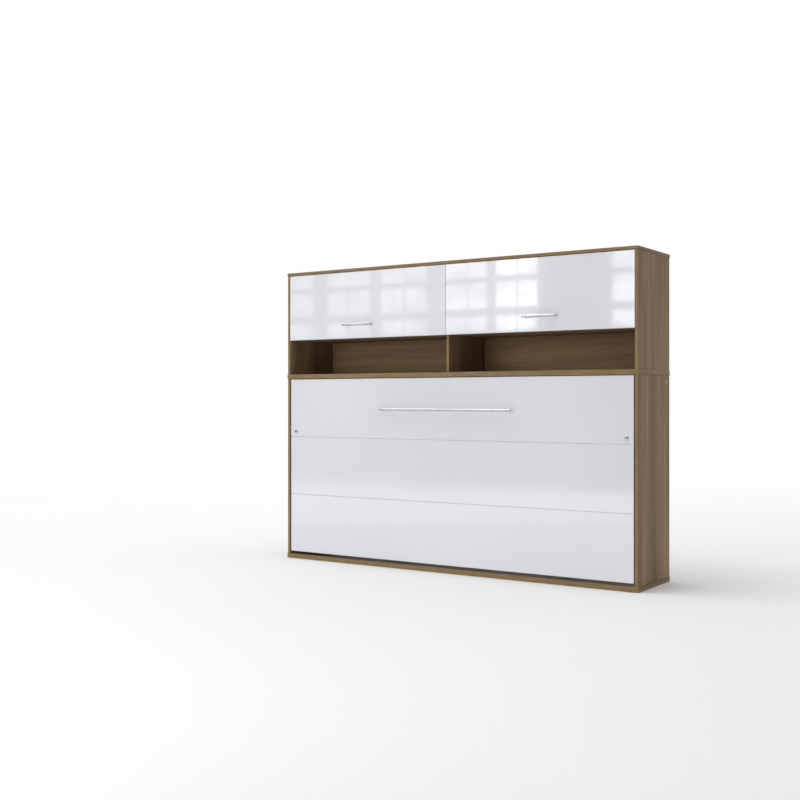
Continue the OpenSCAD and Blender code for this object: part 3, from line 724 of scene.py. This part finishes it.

# %% [markdown]
# ## Screws, pins, caps and buffers
#
# Small hardware is turned as well, one profile repeated at every place. The places are read off
# the model: parts that are made of several separate solids are split, and each one gives a
# middle. Screw heads are countersunk with a round socket, caps are slightly domed, and the
# rubber buffers have a rounded nose.

# %% Small hardware
def solids(node):
    """The box of each separate solid of a part: connected triangles share the lowest index."""
    mesh = frame["nodes"][node].data.copy()
    settle(mesh, 1e-5)
    points = values_of(mesh.vertices, "co", 3)
    ends = values_of(mesh.edges, "vertices", 2, int)
    label = np.arange(len(points))
    while True:
        lowest = np.minimum(label[ends[:, 0]], label[ends[:, 1]])
        before = label.copy()
        np.minimum.at(label, ends[:, 0], lowest)
        np.minimum.at(label, ends[:, 1], lowest)
        if np.array_equal(before, label):
            break
    bpy.data.meshes.remove(mesh)
    return [(points[label == one].min(0), points[label == one].max(0)) for one in np.unique(label)]


def socket_head(radius, depth):
    """Profile of a countersunk head with a socket in its middle, drawn from the top down."""
    return [(0, 0.75 * depth), (0.42 * radius, 0.7 * depth), (0.45 * radius, 0.05 * depth),
            (0.93 * radius, 0), (radius, 0.08 * depth), (0.62 * radius, depth)]


def along_box(low, high, axis, sign=1):
    """Where a fitting that fills a box starts, which way it points and how long it is."""
    start, way = (low + high) / 2, np.zeros(3)
    start[axis] = low[axis] if sign > 0 else high[axis]
    way[axis] = sign
    return start, way, high[axis] - low[axis]


def outward(low, high):
    """1 on the right half of the object and -1 on the left."""
    return 1 if low[0] + high[0] > 0 else -1


def screw(low, high, axis, sign, radius, depth, shank):
    """A screw from its head's top along an axis."""
    start, way, length = along_box(low, high, axis, sign)
    profile = socket_head(radius, depth) + [(shank, depth), (shank, length - shank), (0, length)]
    return turned(profile, start, way, 0.1 * MM, 24)


def plate_screw(low, high):
    """Screws of a level plate point up, the others point out."""
    axis, sign = (2, 1) if high[2] - low[2] > high[0] - low[0] else (0, outward(low, high))
    return screw(low, high, axis, sign, 3.6 * MM, 1.5 * MM, 1.8 * MM)


def cap(low, high):
    """A plug, a flange and a low dome."""
    start, way, thick = along_box(low, high, 0, outward(low, high))
    plug, flange, under = 4.4 * MM, 7 * MM, thick - 1.2 * MM
    dome = [(0, 0), (plug, 0), (plug, under), (flange, under), (flange, thick - 0.7 * MM),
            (5.8 * MM, thick - 0.1 * MM), (0, thick)]
    return turned(dome, start, way, 0.2 * MM)


def cam(low, high):
    """A disc with a socket, as wide as its box."""
    start, way, height = along_box(low, high, 2)
    rim = (high[0] - low[0]) / 2
    profile = socket_head(rim, 2.2 * MM) + [(rim, 2.4 * MM), (rim, height), (0, height)]
    return turned(profile, start, way, 0.2 * MM, 32)


NOSE = [(0, 0), (3.6, 0), (5.3, 1), (6, 3), (6, 15), (5.4, 16), (2.5, 16), (2.5, 25.6), (0, 26)]


def rubber_buffer(low, high):
    """A rounded nose below, a thin stem above."""
    start, way, _ = along_box(low, high, 2)
    return turned([(radius * MM, place * MM) for radius, place in NOSE], start, way, 0.3 * MM, 32)


def pin(low, high, axis, cut, around):
    """A plain pin that fills its box along X or Z."""
    start, way, length = along_box(low, high, axis)
    radius = (high - low)[2 - axis] / 2
    profile = [(0, 0), (radius, 0), (radius, length), (0, length)]
    return turned(profile, start, way, cut, around)


FITTINGS = {
    "plate_screws": (zinc, plate_screw),
    "rail_screws": (zinc, lambda low, high: screw(low, high, 0, -outward(low, high), 5 * MM,
                                                  4 * MM, 3 * MM)),
    "handle_screws": (zinc, lambda low, high: screw(low, high, 1, -1, 4 * MM, 2.5 * MM, 2 * MM)),
    "screw_caps": (cap_plastic, cap),
    "cam_locks": (cap_plastic, cam),
    "closing_buffers": (buffer_rubber, rubber_buffer),
    "left_hinge_pins": (zinc, lambda low, high: pin(low, high, 0, 0.4 * MM, 24)),
    "right_hinge_pins": (zinc, lambda low, high: pin(low, high, 0, 0.4 * MM, 24)),
    "dowels": (beech, lambda low, high: pin(low, high, 2, 1 * MM, 20)),
}
for node, (finish, shape) in FITTINGS.items():
    made = [shape(low, high) for low, high in solids(node)]
    piece_from("look_" + node, group(*made), finish, node)
    print(len(made), node.replace("_", " "))

# %% [markdown]
# ## Sprung slats
#
# A slat is a thin strip of glued beech, pressed into a very slight curve so that it gives under
# the sleeper. All thirteen are one array: the same section of a rounded strip is carried along
# the slat's length and pushed out by a parabola.

# %% Thirteen bowed slats
def slat_shape(low, high, bow, edge=2.5 * MM, stations=25):
    """Point(t, s) = section(s) + bow * (1 - (2t - 1)^2) along Y, carried from low z to high z."""
    quarter = np.linspace(0, math.pi / 2, 5)
    angle = np.concatenate([quarter + k * math.pi / 2 for k in range(4)])
    sign = np.repeat([[1, 1], [-1, 1], [-1, -1], [1, -1]], 5, axis=0)
    half_size = (high[:2] - low[:2]) / 2
    section = sign * (half_size - edge) + edge * np.stack([np.cos(angle), np.sin(angle)], -1)
    t = np.linspace(0, 1, stations)
    x = np.broadcast_to(section[:, 0], (stations, len(section)))
    y = section[:, 1] + (bow * (1 - (2 * t - 1) ** 2))[:, None]
    z = np.broadcast_to((low[2] + t * (high[2] - low[2]))[:, None], x.shape)
    middle = (low + high) / 2
    return rings(np.stack([x + middle[0], y + middle[1], z], -1))


slat_boxes = solids("slats")
piece_from("look_slats", group(*[slat_shape(low, high, 1.4 * MM) for low, high in slat_boxes]),
           beech, "slats", sharp=50)
print(len(slat_boxes), "slats,", round((slat_boxes[0][1] - slat_boxes[0][0])[2], 3), "m long")

# %% [markdown]
# ## The mattress
#
# The cover is two quilted panels and a border band, sewn together along a piped seam. Quilting
# is what gives it relief: stitches hold the fabric down along crossing lines and the filling
# pushes it out between them. That is a job for the cloth simulation. The stitched lines are
# pinned, pressure inside does the rest, and each point may move only a little way. The grid is
# laid so that the diagonal lines run exactly through its points.

# %% A quilted cover
CELL = 14.2 * MM
QUILT = 8
PUFF = 7.0 * MM
INSET = 5.5 * MM
CORNER = 38 * MM


def rounded_corner(x, z, half_x, half_z, radius):
    """Carries each corner square of a rectangle to a quarter disc: a point (u, v) in the square
    goes to (u, v) * max(u, v) / length(u, v)."""
    u = np.maximum(np.abs(x) - (half_x - radius), 0) / radius
    v = np.maximum(np.abs(z) - (half_z - radius), 0) / radius
    both = (u > 0) & (v > 0)
    factor = np.where(both, np.maximum(u, v) / np.maximum(np.hypot(u, v), 1e-9), 1.0)
    new_x = np.where(both, np.sign(x) * (half_x - radius + u * factor * radius), x)
    new_z = np.where(both, np.sign(z) * (half_z - radius + v * factor * radius), z)
    return new_x, new_z


def cover_shape(low, high, radius):
    """Six grids of a box, x and z bent round the corners, and the panels' rims pulled in where
    they meet the border. Returns points, faces and a weight that is 1 on every stitched line."""
    middle, half_size = (low + high) / 2, (high - low) / 2
    cells = np.maximum(np.round(2 * half_size / CELL).astype(int), 2)
    cells[0] += cells[0] % 2
    cells[2] += cells[2] % 2
    lines = [np.linspace(-1, 1, count + 1) for count in cells]
    parts, faces, stitched, start = [], [], [], 0

    def add(u, v, fixed, side, weight):
        nonlocal start
        grid = np.zeros((*u.shape, 3))
        free = [axis for axis in range(3) if axis != fixed]
        grid[..., free[0]], grid[..., free[1]], grid[..., fixed] = u, v, side
        grid *= half_size
        grid[..., 0], grid[..., 2] = rounded_corner(grid[..., 0], grid[..., 2], half_size[0],
                                                    half_size[2], radius)
        rows, columns = u.shape
        i, j = np.meshgrid(np.arange(rows - 1), np.arange(columns - 1), indexing="ij")
        corner = start + i * columns + j
        quads = np.stack([corner, corner + columns, corner + columns + 1, corner + 1], -1)
        parts.append(grid.reshape(-1, 3) + middle)
        faces.extend(quads.reshape(-1, 4).tolist())
        stitched.append(weight.ravel())
        start += rows * columns

    i, k = np.meshgrid(np.arange(cells[0] + 1), np.arange(cells[2] + 1), indexing="ij")
    across = i - cells[0] // 2, k - cells[2] // 2
    diamonds = ((across[0] + across[1]) % QUILT == 0) | ((across[0] - across[1]) % QUILT == 0)
    rim = (i < 2) | (i > cells[0] - 2) | (k < 2) | (k > cells[2] - 2)
    u, v = np.meshgrid(lines[0], lines[2], indexing="ij")
    for side in (-1, 1):
        add(u, v, 1, side, (diamonds | rim).astype(float))
    for fixed in (0, 2):
        other = 2 - fixed
        axes = sorted((other, 1))
        counts = np.meshgrid(*(np.arange(cells[axis] + 1) for axis in axes), indexing="ij")
        level = counts[axes.index(1)]
        held = (level == 0) | (level == cells[1]) | (level == cells[1] // 2)
        u, v = np.meshgrid(*(lines[axis] for axis in axes), indexing="ij")
        for side in (-1, 1):
            add(u, v, fixed, side, held.astype(float))
    return np.concatenate(parts), faces, np.concatenate(stitched)


mattress_low, mattress_high = (np.array(corner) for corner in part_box("mattress"))
points, faces, stitched = cover_shape(mattress_low + INSET, mattress_high - INSET, CORNER)
cover_mesh = bpy.data.meshes.new("look_mattress")
cover_mesh.from_pydata(points, [], faces)
stitches = cover_mesh.attributes.new("stitched", "FLOAT", "POINT")
stitches.data.foreach_set("value", stitched)
settle(cover_mesh, 1e-4)
cover = linked("look_mattress", cover_mesh)
print("cover grid:", len(cover_mesh.vertices), "points,", int(stitched.sum()), "of them stitched")

# %% [markdown]
# The simulation runs for twenty frames without gravity. Its result is read back, each point's
# move is limited by a soft cap, and the Cloth modifier goes. One subdivision smooths the cover.

# %% Puff the quilting up
SIM_FRAMES = 20


def puffed(piece, weight, cap):
    """Cloth under pressure with the stitched points pinned. A move of d becomes
    cap * tanh(d / cap), so that no point goes further than the cap."""
    rest = values_of(piece.data.vertices, "co", 3)
    group_of_pins = piece.vertex_groups.new(name="stitched")
    group_of_pins.add(np.flatnonzero(weight > 0.5).tolist(), 1.0, "REPLACE")
    cloth = piece.modifiers.new("filling", "CLOTH")
    settings = {"quality": 6, "mass": 0.02, "tension_stiffness": 3, "compression_stiffness": 3,
                "shear_stiffness": 1, "bending_stiffness": 0.1, "use_pressure": True,
                "uniform_pressure_force": 60.0, "vertex_group_mass": "stitched"}
    for key, value in settings.items():
        setattr(cloth.settings, key, value)
    cloth.settings.effector_weights.gravity = 0.0
    cloth.collision_settings.use_collision = False
    cloth.point_cache.frame_start, cloth.point_cache.frame_end = 1, SIM_FRAMES
    for moment in range(1, SIM_FRAMES + 1):
        bpy.context.scene.frame_set(moment)
    settled = piece.evaluated_get(bpy.context.evaluated_depsgraph_get())
    step = values_of(settled.data.vertices, "co", 3) - rest
    piece.modifiers.remove(cloth)
    bpy.context.scene.frame_set(1)
    size = np.linalg.norm(step, axis=1, keepdims=True)
    step *= cap * np.tanh(size / cap) / np.maximum(size, 1e-9)
    piece.data.vertices.foreach_set("co", (rest + step).ravel())
    piece.data.update()
    return size


size = puffed(cover, values_of(cover_mesh.attributes["stitched"].data, "value"), PUFF)
print("largest move before the cap", round(float(size.max()) / MM, 1), "mm")
finer = cover.modifiers.new("finer", "SUBSURF")
finer.levels = finer.render_levels = 1
soften(cover_mesh, 80)
attach(cover, cover_knit, ["mattress"])
print("mattress cover done")

# %% [markdown]
# Piping is a cord sewn into both seams round the panels. Its path is the outline of a rounded
# rectangle and its section a circle, so it is one closed tube on each side.

# %% Piping round both panels
def outline(half_x, half_z, radius, per_corner=9, spacing=30 * MM):
    """Points round a rounded rectangle, evenly along its straights and its corners."""
    corner = np.linspace(0, math.pi / 2, per_corner)
    turn = np.concatenate([corner + k * math.pi / 2 for k in range(4)])
    sign = np.repeat([[1, 1], [-1, 1], [-1, -1], [1, -1]], per_corner, axis=0)
    centres = sign * [half_x - radius, half_z - radius]
    bent = centres + radius * np.stack([np.cos(turn), np.sin(turn)], -1)
    loop = np.concatenate([bent, bent[:1]])
    reach = np.concatenate([[0], np.cumsum(np.linalg.norm(np.diff(loop, axis=0), axis=1))])
    steps = np.unique(np.concatenate([reach[:-1], np.arange(0, reach[-1], spacing)]))
    return np.stack([np.interp(steps, reach, loop[:, axis]) for axis in (0, 1)], -1)


def tube_round(path, centre, y, radius, around=12):
    """Point(s, t) = path(s) + radius * (cos t * outward(s) + sin t * Y), with outward square to
    the path in the XZ plane."""
    ahead = np.roll(path, -1, axis=0) - np.roll(path, 1, axis=0)
    outward = np.stack([ahead[:, 1], -ahead[:, 0]], -1)
    outward /= np.linalg.norm(outward, axis=1, keepdims=True)
    t = np.linspace(0, 2 * math.pi, around, endpoint=False)
    flat = path[:, None] + radius * np.cos(t)[:, None] * outward[:, None]
    height = np.broadcast_to(y + radius * np.sin(t), flat.shape[:2])
    points = np.stack([flat[..., 0] + centre[0], height, flat[..., 1] + centre[2]], -1)
    return rings(points, closed_path=True)


half_cover = (mattress_high - mattress_low) / 2 - INSET
centre = (mattress_low + mattress_high) / 2
path = outline(half_cover[0], half_cover[2], CORNER)
piping_radius = 3.2 * MM
seams = [tube_round(path, centre, y, piping_radius)
         for y in (mattress_low[1] + INSET, mattress_high[1] - INSET)]
piece_from("look_mattress_piping", group(*seams), piping_weave, "mattress")
around = np.linalg.norm(np.diff(path, axis=0), axis=1).sum()
print("piping", round(float(around), 2), "m on each side")

# %% [markdown]
# ## Straps and buckles
#
# Two flat webbing straps hold the mattress on the frame while the bed stands up. Each one is
# riveted to the lower rail, goes round the mattress and ends on the upper rail, with a buckle
# to tighten it. A strap is a thin rounded section carried along a line of straight runs and
# bends, and since webbing doesn't stretch, its length is known exactly.

# %% Webbing carried round the mattress
def bent_line(corners, radius, steps=6):
    """A path through corners in the YZ plane, with each corner replaced by an arc: the arc's
    points are a quadratic blend of the two tangent points and the corner."""
    corners = np.array(corners, float)
    back = corners[:-2] - corners[1:-1]
    ahead = corners[2:] - corners[1:-1]
    back /= np.linalg.norm(back, axis=1, keepdims=True)
    ahead /= np.linalg.norm(ahead, axis=1, keepdims=True)
    t = np.linspace(0, 1, steps)[None, :, None]
    first, last = corners[1:-1] + radius * back, corners[1:-1] + radius * ahead
    bend = corners[1:-1, None]
    arcs = (1 - t) ** 2 * first[:, None] + 2 * t * (1 - t) * bend + t**2 * last[:, None]
    return np.concatenate([corners[:1], arcs.reshape(-1, 2), corners[-1:]])


def strap_shape(path, x, width, thick):
    """A flat section with rounded edges carried along the path. Each ring stands square to the
    path: section point (a, b) goes to x + a, and b along the path's normal."""
    ahead = np.gradient(path, axis=0)
    normal = np.stack([ahead[:, 1], -ahead[:, 0]], -1)
    normal /= np.linalg.norm(normal, axis=1, keepdims=True)
    turn = np.linspace(-math.pi / 2, math.pi / 2, 5)
    half_thick = thick / 2
    reach = width / 2 - half_thick + half_thick * np.cos(turn)
    right = np.stack([reach, half_thick * np.sin(turn)], -1)
    section = np.concatenate([right, -right])
    across = np.broadcast_to(section[:, 0] + x, (len(path), len(section)))
    lifted = path[:, None] + section[:, 1, None] * normal[:, None]
    return rings(np.stack([across, lifted[..., 0], lifted[..., 1]], -1))


strap_low, strap_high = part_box("mattress_straps")
webbing_thick, strap_width, tab = 1.6 * MM, 45 * MM, 15 * MM
edge_in = webbing_thick / 2 + 0.1 * MM
near_y, far_y = strap_low.y + edge_in, strap_high.y - edge_in
low_z, high_z = strap_low.z + edge_in, strap_high.z - edge_in
line = bent_line([(near_y, low_z - tab), (near_y, low_z), (far_y, low_z), (far_y, high_z),
                  (near_y, high_z), (near_y, high_z + tab)], 5 * MM)
strap_places = {"left": strap_low.x + strap_width / 2, "right": strap_high.x - strap_width / 2}
for side, x in strap_places.items():
    strap = piece_from(f"look_{side}_strap", strap_shape(line, x, strap_width, webbing_thick),
                       strap_weave, "mattress_straps", sharp=60)

# %% [markdown]
# The buckle is a moulded ladder: two rounded side bars joined by three crossbars, and the strap
# goes over and under them. Rounded boxes that run into each other make it in one go. The rivets
# that hold the strap ends are turned like the screws.

# %% Ladder buckles and rivets
SIDE_BAR = 6 * MM
CROSSBARS = [(0.0, 6 * MM), (0.41, 8 * MM), (0.864, 6 * MM)]  # share of the height, thickness
ladders = []
for low, high in solids("strap_buckles"):
    for start_x, end_x in ((low[0], low[0] + SIDE_BAR), (high[0] - SIDE_BAR, high[0])):
        ladders.append(rounded_box((start_x, low[1], low[2]), (end_x, high[1], high[2]), 1.8 * MM))
    span = high[2] - low[2]
    for share, thickness in CROSSBARS:
        bottom = low[2] + share * span
        near = low[0] + 2 * MM, low[1] + 0.4 * MM, bottom
        far = high[0] - 2 * MM, high[1] - 0.4 * MM, bottom + thickness
        ladders.append(rounded_box(near, far, 1.6 * MM))
piece_from("look_strap_buckles", group(*ladders), black_plastic, "strap_buckles")

RIVET = [(0, 0), (3.6 * MM, 0), (3.6 * MM, 0.5 * MM), (2.4 * MM, 1.5 * MM), (0, 1.8 * MM)]
rivet_y = near_y + webbing_thick / 2 - 0.2 * MM
rivets = [turned(RIVET, (x + offset, rivet_y, z), (0, 1, 0), 0.3 * MM, 24)
          for x in strap_places.values()
          for z in (low_z - 0.6 * tab, high_z + 0.6 * tab)
          for offset in (-12 * MM, 12 * MM)]
piece_from("look_strap_rivets", group(*rivets), zinc, "mattress_straps")
print(len(ladders) // 5, "buckles and", len(rivets), "rivets")

# %% [markdown]
# ## Floor, light and camera
#
# The object stands on white paper in a white room. The light is a white sky all round and one
# broad soft lamp from the front left. White gloss in an all-white room shows nothing of its
# gloss, so it gets something grey to mirror: two walls behind and beside the camera, with a row
# of daylight windows in front of one of them. A pale patch on the floor gives the lowest board
# its lighter band. The camera sees none of these, only their reflections.

# %% Floor and white sky
def flat_sheet(name, corners, material):
    """One quad through four corners."""
    mesh = bpy.data.meshes.new(name)
    mesh.from_pydata(corners, [], [(0, 1, 2, 3)])
    mesh.materials.append(material)
    made = linked(name, mesh)
    return made


def lamp(name, kind, energy, place, turn, **settings):
    """A lamp with its strength, its place, its direction and what its kind needs besides."""
    data = bpy.data.lights.new(name, kind)
    data.energy = energy
    for key, value in settings.items():
        setattr(data, key, value)
    made = linked(name, data)
    made.location, made.rotation_euler = place, turn
    return made


def matt(name, dark, light):
    """Matt paper or wall paint, very slightly cloudy."""
    finish = Finish(name, Roughness=0.9, Specular_IOR_Level=0.1)
    cloud = finish.noise(finish.place(), 0.5, 2.0)
    finish.feed("Base Color", finish.ramp(cloud, (0.3, (dark,) * 3), (0.7, (light,) * 3)))
    return finish.material


half = 40.0
flat_sheet("floor", [(-half, -half, 0), (half, -half, 0), (half, half, 0), (-half, half, 0)],
           matt("paper", 0.84, 0.85))
world = bpy.data.worlds.new("studio")
bpy.context.scene.world = world
world.use_nodes = True
sky = world.node_tree.nodes["Background"].inputs
sky["Color"].default_value, sky["Strength"].default_value = (1.0, 1.0, 1.0, 1.0), 1.0
bpy.context.scene.view_settings.view_transform = "Standard"

LEVEL = (math.radians(90), 0, 0)
sun = lamp("broad_lamp", "SUN", 0.75, (0, 0, 0), (math.radians(28), 0, math.radians(-60)),
           angle=math.radians(35))
print("floor", 2 * half, "m wide, lamp", round(math.degrees(sun.data.angle)), "degrees wide")

# %% [markdown]
# The room to mirror comes next. The walls and the patch are plain quads. The windows are one
# lamp with its own node graph, which is bright where a pane is and dark between the panes.

# %% The grey walls and the windows
WALL_Y, SIDE_X, WALL_TOP = -6.0, 5.0, 5
PATCH = [(-2.15, -1.56, 0.004), (-4.75, -4.71, 0.004), (-0.98, -5.17, 0.004), (-0.08, -2.96, 0.004)]
wall_grey = matt("wall_grey", 0.28, 0.32)
for name, corners in {
    "front_wall": [(-12, WALL_Y, 0), (SIDE_X, WALL_Y, 0), (SIDE_X, WALL_Y, WALL_TOP),
                   (-12, WALL_Y, WALL_TOP)],
    "side_wall": [(SIDE_X, WALL_Y, 0), (SIDE_X, 6, 0), (SIDE_X, 6, WALL_TOP),
                  (SIDE_X, WALL_Y, WALL_TOP)],
}.items():
    flat_sheet(name, corners, wall_grey).visible_camera = False

glow = Finish("patch_glow", Roughness=0.9, Emission_Strength=0.65)
cloud = glow.noise(glow.place(), 0.8, 2.0)
glow.feed("Emission Color", glow.ramp(cloud, (0.3, (0.9,) * 3), (0.7, (1.0,) * 3)))
patch = flat_sheet("pale_patch", PATCH, glow.material)
patch.visible_camera = patch.visible_diffuse = patch.visible_shadow = False

fill = lamp("front_lamp", "AREA", 75, (-0.6, -5.6, 1.3), LEVEL, shape="RECTANGLE", size=3.0,
            size_y=1.6)
fill.visible_camera = fill.visible_glossy = False

# Each window: left and right edge, its glazing bar, and how bright the day is behind it
WINDOWS = [(-5.90, -5.47, -6.2, 1.7), (-5.23, -4.61, -4.94, 1.9), (-4.44, -3.81, -4.12, 2.3),
           (-3.56, -3.02, -3.27, 3.4), (-2.90, -2.40, -2.64, 5.5), (-1.53, -1.05, -1.0, 4.2)]
ROWS = [(1.68, 1.84), (1.93, 2.21), (2.28, 2.62)]
low_x, high_x, low_z, high_z = -6.0, -1.0, 1.6, 2.7
wide, tall = high_x - low_x, high_z - low_z
glass = lamp("windows", "AREA", math.pi * wide * tall,
             ((low_x + high_x) / 2, WALL_Y + 0.02, (low_z + high_z) / 2), LEVEL,
             shape="RECTANGLE", size=wide, size_y=tall)
glass.data.use_nodes = True
glass.visible_camera = False


class Daylight(Finish):
    """The same short words for a lamp's own node graph."""

    def __init__(self, tree):
        self.tree = tree


day = Daylight(glass.data.node_tree)
spot = day.node("ShaderNodeNewGeometry", output="Parametric")
across = day.axis(spot, "X") * wide + low_x
up = day.axis(spot, "Y") * tall + low_z


def lit_between(value, low, high, soft=0.02):
    """1 between two edges and 0 outside them, with a soft step at each."""
    rise = day.between(value, low - soft, low + soft)
    return rise * day.between(value, high - soft, high + soft, 1.0, 0.0)


HALF_BAR = 0.012
columns = 0.0
for left, right, bar, brightness in WINDOWS:
    open_glass = 1.0 - lit_between(across, bar - HALF_BAR, bar + HALF_BAR)
    columns = lit_between(across, left, right) * open_glass * brightness + columns
rows = lit_between(up, *ROWS[0]) + lit_between(up, *ROWS[1]) + lit_between(up, *ROWS[2])
outside = day.noise(day.stretched(spot, (9.0, 2.5, 1.0)), 2.0, 5.0, 0.7)
day.join(day.tree.nodes["Emission"].inputs["Strength"],
         columns * rows * day.between(outside, 0.35, 0.6, 0.55, 1.3))
print(len(WINDOWS), "windows of two panes by three rows")

# %% [markdown]
# The camera stands at chest height and looks level, so that the cabinet's upright edges stay
# upright. It is turned by 34 degrees, which shows the right side of the cabinet as well.

# %% Camera
camera_data = bpy.data.cameras.new("camera")
camera_data.lens, camera_data.sensor_width, camera_data.shift_y = 50.31, 36.0, -0.0009
camera = linked("camera", camera_data)
camera.location = (3.1013, -5.2361, 0.9194)
camera.rotation_euler = (math.radians(90), 0, math.radians(33.98))
bpy.context.scene.camera = camera
print("camera", [round(value, 2) for value in camera.location], "m, lens",
      round(camera_data.lens, 1), "mm")
